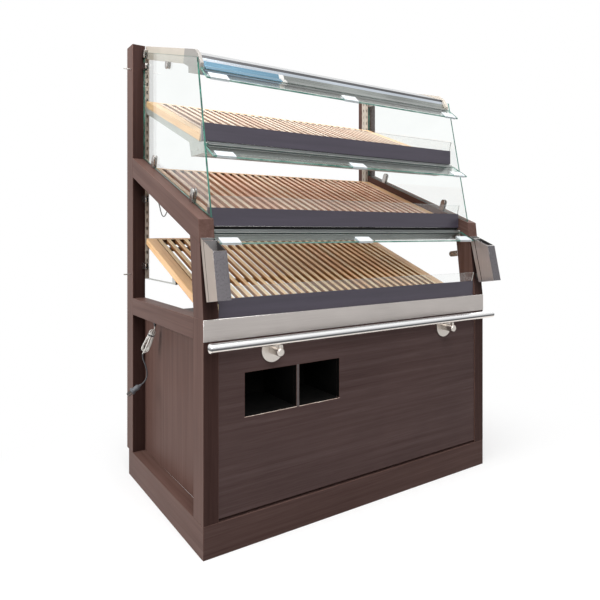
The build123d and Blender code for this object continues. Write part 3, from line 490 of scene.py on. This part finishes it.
def clearFinish(name, tint, rough=0.02, mirror=0.04, haze=0.0):
    material, tree = emptyFinish(name)
    smear = cloudy(tree, clearSheet["smear"])
    through = tree.nodes.new("ShaderNodeBsdfTransparent")
    smearTone = tones(tree, smear, [(0.3, tint), (0.7, tinted(tint, clearSheet["smearTint"]))])
    joinUp(tree, smearTone, through.inputs["Color"])
    shine = tree.nodes.new("ShaderNodeBsdfGlossy")
    shine.inputs["Color"].default_value = (*clearSheet["mirrorTint"], 1)
    joinUp(tree, spreadValue(tree, smear, rough, rough + clearSheet["smearRough"]), shine.inputs["Roughness"])
    facing = tree.nodes.new("ShaderNodeLayerWeight")
    steep = calculate(tree, "POWER", facing.outputs["Facing"], clearSheet["steepness"])
    mirrored = calculate(tree, "MULTIPLY_ADD", steep, clearSheet["grazing"], mirror)
    sheet = mixShaders(tree, mirrored, through.outputs[0], shine.outputs[0])
    if haze:
        veilTone = tones(tree, smear, list(zip((0.3, 0.7), clearSheet["veil"])))
        sheet = mixShaders(tree, haze, sheet, mattShader(tree, veilTone))
    joinUp(tree, sheet, tree.nodes["Material Output"].inputs["Surface"])
    return material


def glassEdgeFinish(name, deep, bright):
    material, tree, shader = startFinish(name, deep, 0.18)
    bands = cloudy(tree, (0.05, 0.05, 0.05), twist=0.5)
    tone = tones(tree, bands, [(0.34, deep), (0.56, between(deep, bright)), (0.74, bright)])
    joinUp(tree, tone, shader.inputs["Base Color"])
    shader.inputs["Coat Weight"].default_value = 0.4
    return material


paneGlass = clearFinish("paneGlass", (0.985, 0.997, 0.991))
paneEdge = glassEdgeFinish("paneEdge", (0.002, 0.045, 0.033), (0.07, 0.30, 0.22))
stripGlass = clearFinish("stripGlass", (0.975, 0.995, 0.987))
stripEdge = glassEdgeFinish("stripEdge", (0.03, 0.20, 0.15), (0.38, 0.62, 0.54))
clearAcrylic = clearFinish("clearAcrylic", (0.99, 0.995, 0.99), 0.05, 0.035, 0.03)
acrylicEdge = glassEdgeFinish("acrylicEdge", (0.40, 0.43, 0.42), (0.80, 0.82, 0.81))
milkyPlastic = clearFinish("milkyPlastic", (0.88, 0.92, 0.95), 0.12, 0.08, 0.55)
print("finishes made")

# helpers for the pieces
# merge is in metres, and the angles are in degrees
shaping = {"merge": 0.00001, "flatter": 0.6, "sharp": 28, "sharpRound": 50, "smooth": 35}


def hangOn(piece, node):
    body = frame["nodes"][node]["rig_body"]
    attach(piece, body)


def looksTo(face, way, least=0.9):
    return face.normal.dot(way) > least


def liesAcross(face, way, least=0.9):
    return abs(face.normal.dot(way)) > least


def intoPiece(shape, name, finishes, smooth=shaping["smooth"]):
    data = bpy.data.meshes.new(name)
    shape.normal_update()
    shape.to_mesh(data)
    shape.free()
    for finish in finishes:
        data.materials.append(finish)
    piece = bpy.data.objects.new(name, data)
    bpy.context.scene.collection.objects.link(piece)
    if smooth:
        data.shade_smooth()
        data.set_sharp_from_angle(angle=math.radians(smooth))
        even = piece.modifiers.new("evenNormals", "WEIGHTED_NORMAL")
        even.keep_sharp = True
    return piece


def easedPiece(node, name, width, finishes, edge=None, paint=None, cuts=(), segments=2, curved=False):
    # copies the node: cuts part its faces, paint(face) picks each one's finish, and sharp edges are eased
    shape = bmesh.new()
    shape.from_mesh(frame["nodes"][node].data)
    bmesh.ops.remove_doubles(shape, verts=shape.verts, dist=shaping["merge"])
    bmesh.ops.dissolve_limit(shape, angle_limit=math.radians(shaping["flatter"]),
                             verts=shape.verts, edges=shape.edges)
    for place, way in cuts:
        bmesh.ops.bisect_plane(shape, geom=list(shape.verts) + list(shape.edges) + list(shape.faces),
                               dist=shaping["merge"], plane_co=place, plane_no=way)
    for face in shape.faces:
        face.smooth = False
        face.material_index = finishes.index(paint(face)) if paint else 0
    least = math.radians(shaping["sharpRound" if curved else "sharp"])
    sharp = [side for side in shape.edges if len(side.link_faces) == 2 and side.calc_face_angle(0) > least]
    easing = bmesh.ops.bevel(shape, geom=sharp, offset=width, offset_type="OFFSET", affect="EDGES",
                             segments=segments, profile=0.5, material=-1, clamp_overlap=True)
    for face in easing["faces"]:
        face.smooth = True
        if edge:
            face.material_index = finishes.index(edge)
    piece = intoPiece(shape, name, finishes, shaping["smooth"] if curved else 0)
    hangOn(piece, node)
    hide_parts(node)
    return piece


# boards of the cabinet and the side frames
boards = {"edge": 0.0009}


# the posts' front faces take the darker laminate copy as painted shade
def postShadePaint(face):
    return laminatePaintedShade if looksTo(face, -backWay) else laminateUp


for node, name in (("left_rear_post", "leftRearPost"), ("right_rear_post", "rightRearPost"),
                   ("front_posts", "frontPosts"), ("slant_posts", "leaningPosts")):
    easedPiece(node, name, boards["edge"], [laminateUp, edgeUp, laminatePaintedShade], edgeUp, postShadePaint)
for node, name, finish, edge in (
        ("sloped_rails", "slopedRails", laminateSlope, edgeSlope),
        ("side_rails", "sideRails", laminateBack, edgeBack),
        ("side_panels", "sidePanels", laminateUp, edgeUp),
        ("cabinet_back", "cabinetBack", laminateUp, edgeUp),
        ("cabinet_floor", "cabinetFloor", laminateAcrossShaded, edgeAcross),
        ("cabinet_top", "cabinetTop", laminateAcrossShaded, edgeAcross)):
    easedPiece(node, name, boards["edge"], [finish, edge], edge)

# plinth: its side boards have their grain from front to back, and its front takes the darker laminate copy as
# painted shade
plinth = {"edge": 0.0012, "frontTo": 0.56}


def plinthPaint(face):
    return laminateAcrossShaded if abs(face.calc_center_median().x) < plinth["frontTo"] else laminateBack


plinthPiece = easedPiece("plinth_boards", "plinthBoards", plinth["edge"],
                         [laminateAcrossShaded, edgeAcross, laminateBack], edgeAcross, plinthPaint)
halfWidth = station["halfWidth"] / 1000
for corner in plinthPiece.data.vertices:  # the eased mitres stay inside the plinth's own width
    corner.co.x = max(-halfWidth, min(halfWidth, corner.co.x))

# front panel: a bare worn sill and a grey divider at the niche holes, from the middle and the floor, with
# painted near-black shade inside the holes
niche = {"left": -0.487, "right": -0.121, "sill": 0.399, "head": 0.536, "divider": (-0.2972, -0.2858),
         "play": 0.001, "wornAside": 0.004, "wornHigh": 0.003, "wornFront": -0.004,
         "panelEdge": 0.0011, "boxEdge": 0.0005}


def panelPaint(face):
    centre = face.calc_center_median()
    inHole = (niche["left"] < centre.x < niche["right"]
              and niche["sill"] - niche["play"] < centre.z < niche["head"] + niche["play"])
    # faces inside a hole are painted near-black as shade
    if inHole and not liesAcross(face, backWay, 0.5):
        return nicheShadeBlack
    return dividerGrey if inHole and niche["divider"][0] < centre.x < niche["divider"][1] else laminatePanel


panelCuts = [((0, 0, niche[height]), upWay) for height in ("sill", "head")]
panelFinishes = [laminatePanel, edgeAcross, nicheShadeBlack, bareEdge, dividerGrey]
frontPanel = easedPiece("front_panel", "frontPanel", niche["panelEdge"], panelFinishes, edgeAcross,
                        panelPaint, panelCuts)
for polygon in frontPanel.data.polygons:
    centre = polygon.center
    onSill = (niche["left"] - niche["wornAside"] < centre.x < niche["right"] + niche["wornAside"]
              and abs(centre.z - niche["sill"]) < niche["wornHigh"] and centre.y < niche["wornFront"])
    if onSill and polygon.material_index == panelFinishes.index(edgeAcross):
        polygon.material_index = panelFinishes.index(bareEdge)
# the boxes behind the holes are painted near-black as shade
easedPiece("niche_boxes", "nicheBoxes", niche["boxEdge"], [nicheShadeBlack])
print("boards made")

# apron and handrail
railWork = {"apronEdge": 0.0005, "tubeEdge": 0.0003, "bracketEdge": 0.0008}
# the apron's eased edges carry the painted highlight
easedPiece("front_apron", "frontApron", railWork["apronEdge"], [apronSteel, paintedEdgeHighlight], paintedEdgeHighlight)
easedPiece("handrail_tube", "handrailTube", railWork["tubeEdge"], [tubeSteelPaintedReflections], curved=True)
easedPiece("handrail_caps", "handrailCaps", railWork["tubeEdge"], [tubeSteelPaintedReflections], curved=True)
easedPiece("handrail_brackets", "handrailBrackets", railWork["bracketEdge"], [fittingSteel, fittingRim],
           fittingRim, curved=True)

# tong holders: grey sides with a seam, dark fronts and insides, and rims with the painted edge highlight
holder = {"seamTop": (9.4, 954), "seamFoot": (-34.5, 767.4), "seam": 0.0015, "walls": (0.5785, 0.6215),
          "rimFrom": 0.88, "frontTo": -0.04, "edge": 0.0005}
seamTop, seamFoot = spot(0, *holder["seamTop"]), spot(0, *holder["seamFoot"])
seamWay = (seamTop - seamFoot).normalized()
seamAcross = Vector((0, seamWay.z, -seamWay.y))


def holderPaint(face):
    centre = face.calc_center_median()
    # upward faces of the rims take the painted highlight
    if looksTo(face, upWay, 0.6) and centre.z > holder["rimFrom"]:
        return paintedEdgeHighlight
    if liesAcross(face, rightWay):
        if holder["walls"][0] <= abs(centre.x) <= holder["walls"][1]:
            return holderInside
        if abs((centre - seamTop).dot(seamAcross)) < holder["seam"]:
            return darkSeam
        return holderSide if centre.x < 0 else holderInner
    return holderFront if looksTo(face, -backWay, 0.8) and centre.y < holder["frontTo"] else holderInside


holderCuts = [(seamTop + seamAcross * shift, seamAcross) for shift in (-holder["seam"], holder["seam"])]
easedPiece("tong_holders", "tongHolders", holder["edge"],
           [holderSide, paintedEdgeHighlight, holderFront, holderInside, darkSeam, holderInner], paintedEdgeHighlight,
           holderPaint, holderCuts)

# troughs: the upstand behind the channel's foot lies in the dark, painted black as shadow, and their eased
# edges carry the painted highlight
troughs = {"tops": {"mid": 0.9786, "upper": 1.2596}, "cut": 0.0004, "dark": 0.0005, "edge": 0.0005}
for place, top in troughs["tops"].items():
    def troughShadowPaint(face, shadowFrom=top + troughs["dark"]):
        return gapShadowBlack if face.calc_center_median().z > shadowFrom else troughSteel
    easedPiece(place + "_housing", place + "Trough", troughs["edge"], [troughSteel, gapShadowBlack, paintedEdgeHighlight],
               paintedEdgeHighlight, troughShadowPaint, [((0, 0, top + troughs["cut"]), upWay)])

# canopy: a dark fold, a pale band and a long lens, blue at its left end; the three ways are its front's faces
canopy = {"low": Vector((0, -0.990, 0.136)), "high": Vector((0, -0.933, 0.360)),
          "under": Vector((0, 0.276, -0.961)), "front": 0.985, "split": -0.262, "bar": 0.010,
          "fold": 0.0105, "lens": 0.0215, "edge": 0.0008}
lensFinishes = [canopyLensBlue, canopyLensGrey, canopyLensBar]


def lensPaint(face):
    x = face.calc_center_median().x
    if abs(x - canopy["split"]) < canopy["bar"]:
        return canopyLensBar
    return canopyLensBlue if x < canopy["split"] else canopyLensGrey


def canopyPaint(face):
    if looksTo(face, canopy["low"], canopy["front"]) or looksTo(face, canopy["under"]):
        return lensPaint(face)
    if looksTo(face, canopy["high"], canopy["front"]):
        down = canopyCrown.z - face.calc_center_median().z
        if down > canopy["lens"]:
            return lensPaint(face)
        return canopyFold if down < canopy["fold"] else canopyBand
    return canopySteel


canopyShape = frame["nodes"]["canopy_housing"].data
frontCorners = [canopyShape.vertices[index].co.z for polygon in canopyShape.polygons
                if looksTo(polygon, canopy["high"], canopy["front"]) for index in polygon.vertices]
canopyCrown = Vector((0, 0, max(frontCorners)))
lensCuts = [((canopy["split"] + side * canopy["bar"], 0, 0), rightWay) for side in (-1, 1)]
heightCuts = [(canopyCrown - upWay * canopy[height], upWay) for height in ("fold", "lens")]
easedPiece("canopy_housing", "canopyTrough", canopy["edge"],
           [canopySteel, canopyBand, *lensFinishes, canopyFold], None, canopyPaint, lensCuts + heightCuts)

smallWork = {"clampEdge": 0.0012, "standardEdge": 0.0003, "channelEdge": 0.0004, "pinEdge": 0.0004}
easedPiece("glass_clamps", "glassClamps", smallWork["clampEdge"], [knobSteel], curved=True)
easedPiece("shelf_standards", "shelfStandards", smallWork["standardEdge"], [beigePaint])

# arms: the left canopy arm's plate is grey, and the lowest shelf arms have dark pads
arms = {"plateTo": 0.282, "canopyEdge": 0.0008,
        "padTo": 0.83, "padBetween": (0.34, 0.395), "shelfEdge": 0.0005}


def canopyArmPaint(face):
    centre = face.calc_center_median()
    return platePaint if centre.y < arms["plateTo"] and centre.x < 0 else beigePaint


def shelfArmPaint(face):
    centre = face.calc_center_median()
    onPad = centre.z < arms["padTo"] and arms["padBetween"][0] < centre.y < arms["padBetween"][1]
    return padPaint if onPad else armPaint


easedPiece("canopy_arms", "canopyArms", arms["canopyEdge"], [beigePaint, platePaint], paint=canopyArmPaint)
easedPiece("shelf_arms", "shelfArms", arms["shelfEdge"], [armPaint, padPaint], paint=shelfArmPaint)
for tier in rackWood:
    easedPiece(tier + "_fascia", tier + "Channel", smallWork["channelEdge"], [channelPaint])
easedPiece("link_pins", "linkPins", smallWork["pinEdge"], [pinSteel], curved=True)
easedPiece("hinge_pins", "hingePins", smallWork["pinEdge"], [pinSteel], curved=True)
print("metalwork made")

# racks: the edge boards and the rear rail's top and back are pale, and the bars and the rail's front are
# painted dark as shade between the slats
racks = {"railFrom": 0.655, "boardFrom": 0.5, "frameEdge": 0.0012}
slatUp = Vector((0, -math.sin(slopeTurn), math.cos(slopeTurn)))
slatAlong = Vector((0, math.cos(slopeTurn), math.sin(slopeTurn)))


def frameShadowPaint(face):
    centre = face.calc_center_median()
    outward = looksTo(face, slatUp, 0.7) or looksTo(face, slatAlong, 0.7)
    pale = abs(centre.x) > racks["boardFrom"] or (centre.y > racks["railFrom"] and outward)
    return rackBoardWood if pale else rackShadowWood


for tier in rackWood:
    easedPiece(tier + "_rack_frame", tier + "RackBoards", racks["frameEdge"], [rackBoardWood, rackShadowWood],
               paint=frameShadowPaint)
    topWood, shadedSideWood = slatFinish(tier, "Top"), slatFinish(tier, "Side")

    # the flanks take the darker copy: painted shade
    def slatPaint(face, topWood=topWood, shadedSideWood=shadedSideWood):
        return topWood if looksTo(face, slatUp, 0.7) else shadedSideWood
    easedPiece(tier + "_rack_slats", tier + "RackSlats", slats["edge"], [topWood, shadedSideWood],
               paint=slatPaint, segments=1)
print("racks made")

# side glasses, and the glass strips with their tilts in degrees, each with its rail and grips
glass = {"paneEdge": 0.0006, "stripEdge": 0.0005, "railEdge": 0.0003, "gripEdge": 0.0005, "lipEdge": 0.0004,
         "tilts": {"mid": 28.5, "upper": 32, "canopy": 40}}


def slabPaint(way, flat, rim, least=0.9):
    def paint(face):
        return flat if liesAcross(face, way, least) else rim
    return paint


for side in ("left", "right"):
    easedPiece(side + "_side_glass", side + "SideGlass", glass["paneEdge"], [paneGlass, paneEdge], paneEdge,
               slabPaint(rightWay, paneGlass, paneEdge))
for place, tilt in glass["tilts"].items():
    angle = math.radians(tilt)
    stripWay = Vector((0, -math.sin(angle), math.cos(angle)))
    easedPiece(place + "_flap_glass", place + "Strip", glass["stripEdge"], [stripGlass, stripEdge], stripEdge,
               slabPaint(stripWay, stripGlass, stripEdge))
    if place == "canopy":  # its rail goes on with the canopy's lens
        easedPiece("canopy_flap_rail", "canopyStripRail", glass["railEdge"], lensFinishes, None,
                   lensPaint, lensCuts, curved=True)
    else:
        # the rails' eased edges carry the painted highlight
        easedPiece(place + "_flap_rail", place + "StripRail", glass["railEdge"], [railAluminium, paintedEdgeHighlight],
                   paintedEdgeHighlight, curved=True)
    easedPiece(place + "_flap_grips", place + "StripGrips", glass["gripEdge"], [milkyPlastic])
for tier in rackWood:
    easedPiece(tier + "_lip", tier + "ClearLip", glass["lipEdge"], [clearAcrylic, acrylicEdge], acrylicEdge,
               slabPaint(backWay, clearAcrylic, acrylicEdge, 0.7))

# lights: the canopy's diffuser looks like its lens, and the lower ones are opal
lamps = {"canopyFrom": 1.4, "diffuserEdge": 0.0004, "stripEdge": 0.0003, "driverEdge": 0.0015,
         "screwEdge": 0.0005}


def diffuserPaint(face):
    return lensPaint(face) if face.calc_center_median().z > lamps["canopyFrom"] else opalPlastic


easedPiece("light_diffusers", "lightDiffusers", lamps["diffuserEdge"], [opalPlastic, *lensFinishes], None,
           diffuserPaint, lensCuts)
easedPiece("lamp_strips", "lampStrips", lamps["stripEdge"], [lampPlastic])
easedPiece("lamp_driver", "lampDriver", lamps["driverEdge"], [driverPlastic])
easedPiece("fasteners", "troughScrews", lamps["screwEdge"], [pinSteel], curved=True)
print("glass and plastics made")


# mains lead: white from the gland into a hank, then a dark stretch down to the plug
def leadCurve(name, points, diameter, finish):
    curve = bpy.data.curves.new(name, "CURVE")
    curve.dimensions = "3D"
    spline = curve.splines.new("NURBS")
    spline.points.add(len(points) - 1)
    for target, point in zip(spline.points, points):
        target.co = (*point, 1)
    spline.order_u = 3
    spline.use_endpoint_u = True
    spline.resolution_u = 8
    curve.bevel_depth = diameter / 2
    curve.bevel_resolution = 4
    curve.use_fill_caps = True
    curve.materials.append(finish)
    piece = bpy.data.objects.new(name, curve)
    bpy.context.scene.collection.objects.link(piece)
    return piece


def lineLength(piece):
    bare = bpy.data.objects.new("bareLine", piece.data.copy())
    bare.data.bevel_depth = 0
    mesh = bpy.data.meshes.new_from_object(bare)
    ends = ([mesh.vertices[index].co for index in edge.vertices] for edge in mesh.edges)
    length = sum((start - end).length for start, end in ends)
    bpy.data.meshes.remove(mesh)
    bpy.data.curves.remove(bare.data)
    return length


# each turn's row: start and end along the hank as shares, half width in mm, shift sideways and in depth at
# the foot in mm, and how far it is turned at foot and top in degrees
mainsLead = {"white": 0.0036, "dark": 0.0052, "start": [(26, 507, 633), (26, 507, 622), (25, 508, 613)],
             "hankTop": (21.5, 512, 607.5), "hankFoot": (-9, 540, 518), "hankDeep": (0.569, 0.822, 0),
             "turns": [(0.197, 0.829, 12.3, 7.9, -8.7, 36, 63), (0.107, 0.879, 12.4, -5.3, -4.2, 33, 57),
                       (-0.02, 0.878, 12.5, -3.1, 7.9, 54, 94), (-0.016, 0.868, 12.5, 5.3, 6.6, 16, 27),
                       (0.067, 0.994, 12.1, 6.5, 3.2, 105, 122)],
             "turnsMade": 4.3, "turnSteps": 14, "firstStep": 2, "fold": 0.2, "endAside": 0.002,
             "tail": [(-9, 540, 518), (-8, 543, 500), (-1, 541, 483), (5, 539, 463), (8, 538.5, 443),
                      (5, 539, 425), (-3, 541, 411), (-14, 544, 403)]}
hankTop, hankFoot = spot(*mainsLead["hankTop"]), spot(*mainsLead["hankFoot"])
hankWay = (hankFoot - hankTop).normalized()
hankDeep = Vector(mainsLead["hankDeep"])
hankDeep = (hankDeep - hankWay * hankDeep.dot(hankWay)).normalized()
hankSide = hankWay.cross(hankDeep).normalized()
hankLong = (hankFoot - hankTop).length


def hankPoint(turnShare):
    # turnShare counts the turns from the top, and each turn blends into the next
    turn = int(turnShare)
    first, second = mainsLead["turns"][turn], mainsLead["turns"][min(turn + 1, len(mainsLead["turns"]) - 1)]
    startShare, endShare, halfWide, aside, deep, footTurn, topTurn = (
        u + (v - u) * (turnShare - turn) for u, v in zip(first, second))
    turnAngle = math.radians(-90 + 360 * turnShare)
    start, end, wide = startShare * hankLong, endShare * hankLong, halfWide / 1000
    bow = math.sin(turnAngle)
    straight = (end - start) / 2 - wide
    along = (start + end) / 2 + bow * wide + straight * max(-1, min(1, bow / mainsLead["fold"]))
    drop = min(1, max(0, along / hankLong))
    twist = math.radians(topTurn + (footTurn - topTurn) * drop)
    out = math.cos(turnAngle) * wide
    return (hankTop + hankWay * along + hankSide * (out * math.cos(twist) + aside * drop / 1000)
            + hankDeep * (out * math.sin(twist) + deep * drop / 1000))


leadPoints = [spot(*place) for place in mainsLead["start"]]
for step in range(mainsLead["firstStep"], int(mainsLead["turnSteps"] * mainsLead["turnsMade"])):
    leadPoints.append(hankPoint(step / mainsLead["turnSteps"]))
leadPoints.append(hankFoot.lerp(leadPoints[-1], 0.5) + hankSide * mainsLead["endAside"])
leadPoints.append(hankFoot)
whiteCord = leadCurve("whiteCord", leadPoints, mainsLead["white"], whiteLead)
hangOn(whiteCord, "supply_lead")
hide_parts("supply_lead", "cord_hank")
whiteLength = lineLength(whiteCord)

tailPoints = [spot(*place) for place in mainsLead["tail"]]
plugCord = leadCurve("plugCord", tailPoints, mainsLead["dark"], leadRubber)
hangOn(plugCord, "plug_lead")
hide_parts("plug_lead")
tailLength = lineLength(plugCord)

# a soft tie round the top of the hank, at its share of the hank's length
tieShape = {"at": 0.17, "side": 0.0118, "deep": 0.0135, "wide": 0.005, "thick": 0.0009, "sides": 28}
tie = bmesh.new()
bmesh.ops.create_circle(tie, cap_ends=False, radius=1.0, segments=tieShape["sides"])
for vert in tie.verts:
    vert.co = (hankTop + hankWay * (hankLong * tieShape["at"]) + hankSide * (vert.co.x * tieShape["side"])
               + hankDeep * (vert.co.y * tieShape["deep"]))
tieGrown = bmesh.ops.extrude_edge_only(tie, edges=list(tie.edges))["geom"]
bmesh.ops.translate(tie, vec=hankWay * tieShape["wide"],
                    verts=[part for part in tieGrown if isinstance(part, bmesh.types.BMVert)])
bmesh.ops.recalc_face_normals(tie, faces=tie.faces)
bmesh.ops.solidify(tie, geom=list(tie.faces), thickness=-tieShape["thick"])
cordTie = intoPiece(tie, "cordTie", [leadRubber])
hangOn(cordTie, "supply_lead")

# gland with a ribbed, tapered sleeve under the side rail; each ring: drop and radius in metres
glandShape = {"place": (26, 507, 645), "sides": 28, "smooth": 40,
              "rings": [(0.0, 0.0022), (0.0, 0.0090), (-0.0040, 0.0090), (-0.0052, 0.0082), (-0.0060, 0.0062),
                        (-0.0120, 0.0052), (-0.0130, 0.0046), (-0.0145, 0.0050), (-0.0160, 0.0042),
                        (-0.0175, 0.0046), (-0.0190, 0.0038), (-0.0205, 0.0042), (-0.0240, 0.0034),
                        (-0.0240, 0.0022)]}
gland = bmesh.new()
glandTop = spot(*glandShape["place"])
profile = [gland.verts.new(glandTop + Vector((radius, 0, drop))) for drop, radius in glandShape["rings"]]
profileEdges = [gland.edges.new((a, b)) for a, b in zip(profile, profile[1:] + profile[:1])]
bmesh.ops.spin(gland, geom=profile + profileEdges, cent=glandTop, axis=upWay, angle=math.tau,
               steps=glandShape["sides"], use_merge=True)
bmesh.ops.recalc_face_normals(gland, faces=gland.faces)
glandPiece = intoPiece(gland, "cordSleeve", [leadRubber], glandShape["smooth"])
hangOn(glandPiece, "cord_gland")
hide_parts("cord_gland")

# plug with a ribbed sleeve, a waisted body and three prongs, in metres from where the lead enters it;
# each ring: place along, radius and how flat it is
plugShape = {"rings": [(0.0, 0.0034, 1), (0.0005, 0.0046, 1), (0.003, 0.0046, 1), (0.0036, 0.0040, 1),
                       (0.0050, 0.0052, 1), (0.0064, 0.0046, 1), (0.0080, 0.0062, 0.95),
                       (0.0105, 0.0100, 0.9), (0.0140, 0.0124, 0.84), (0.0190, 0.0122, 0.80),
                       (0.0250, 0.0112, 0.80), (0.0300, 0.0116, 0.84), (0.0330, 0.0136, 0.9),
                       (0.0340, 0.0139, 0.92), (0.0390, 0.0139, 0.92), (0.0400, 0.0130, 0.92)],
             "sides": 32, "smooth": 40, "prong": 0.0185, "prongFrom": 0.0395, "blade": (0.0016, 0.0062),
             "bladeAside": 0.0060, "bladeUp": 0.0032, "bladeEdge": 0.0004, "earth": (0.0023, 0.0021),
             "earthSides": 20, "earthDown": 0.0062}
plugFinishes = [plugRubber, bladeSteel]
plugWay = (tailPoints[-1] - tailPoints[-2]).normalized()
plugSide = plugWay.cross(upWay).normalized()
plugUp = plugSide.cross(plugWay).normalized()
plugPlace = Matrix((plugSide, plugUp, plugWay)).transposed().to_4x4()
plugPlace.translation = tailPoints[-1]
plugMesh = bmesh.new()
bmesh.ops.create_circle(plugMesh, cap_ends=False, radius=plugShape["rings"][0][1],
                        segments=plugShape["sides"])
ringEdges = list(plugMesh.edges)
bmesh.ops.edgeloop_fill(plugMesh, edges=ringEdges)
for last, ring in zip(plugShape["rings"], plugShape["rings"][1:]):
    grown = bmesh.ops.extrude_edge_only(plugMesh, edges=ringEdges)["geom"]
    ringEdges = [part for part in grown if isinstance(part, bmesh.types.BMEdge)]
    for vert in (part for part in grown if isinstance(part, bmesh.types.BMVert)):
        vert.co.x *= ring[1] / last[1]
        vert.co.y *= ring[1] * ring[2] / (last[1] * last[2])
        vert.co.z = ring[0]
bmesh.ops.edgeloop_fill(plugMesh, edges=ringEdges)
bmesh.ops.recalc_face_normals(plugMesh, faces=plugMesh.faces)


def madeOfSteel(verts):
    faces = {face for vert in verts for face in vert.link_faces}
    for face in faces:
        face.material_index = plugFinishes.index(bladeSteel)
    return faces


for aside in (-plugShape["bladeAside"], plugShape["bladeAside"]):
    blade = bmesh.ops.create_cube(plugMesh, size=1.0)["verts"]
    for vert in blade:
        vert.co = Vector((aside + vert.co.x * plugShape["blade"][0],
                          plugShape["bladeUp"] + vert.co.y * plugShape["blade"][1],
                          plugShape["prongFrom"] + (vert.co.z + 0.5) * plugShape["prong"]))
    bladeEdges = {side for face in madeOfSteel(blade) for side in face.edges}
    bmesh.ops.bevel(plugMesh, geom=list(bladeEdges), offset=plugShape["bladeEdge"], offset_type="OFFSET",
                    affect="EDGES", segments=1, profile=0.5, material=-1)
earth = bmesh.ops.create_cone(plugMesh, cap_ends=True, segments=plugShape["earthSides"],
                              radius1=plugShape["earth"][0], radius2=plugShape["earth"][1],
                              depth=plugShape["prong"])["verts"]
for vert in earth:
    vert.co += Vector((0, -plugShape["earthDown"], plugShape["prongFrom"] + plugShape["prong"] / 2))
madeOfSteel(earth)
bmesh.ops.transform(plugMesh, matrix=plugPlace, verts=plugMesh.verts)
plugPiece = intoPiece(plugMesh, "mainsPlug", plugFinishes, plugShape["smooth"])
hangOn(plugPiece, "plug")
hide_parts("plug")

# light cable from the left standard down and forward to the middle trough; run: depths and heights in mm
cableSet = {"across": 64, "thick": 0.0038,
            "run": [(695, 1170), (672, 1170), (648, 1156), (615, 1124), (585, 1093), (566, 1071), (549, 1043),
                    (529, 1029), (508, 1030), (489, 1043), (467, 1060), (440, 1070), (405, 1066), (362, 1049),
                    (316, 1026), (268, 1008), (228, 985), (208, 966), (191, 957), (172, 957)]}
cablePoints = [spot(cableSet["across"], *place) for place in cableSet["run"]]
lightCable = leadCurve("lightCable", cablePoints, cableSet["thick"], cableGrey)
hangOn(lightCable, "light_cable")
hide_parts("light_cable")
round(lineLength(lightCable), 3)
print("mains lead made", round(whiteLength, 3), round(tailLength, 3))
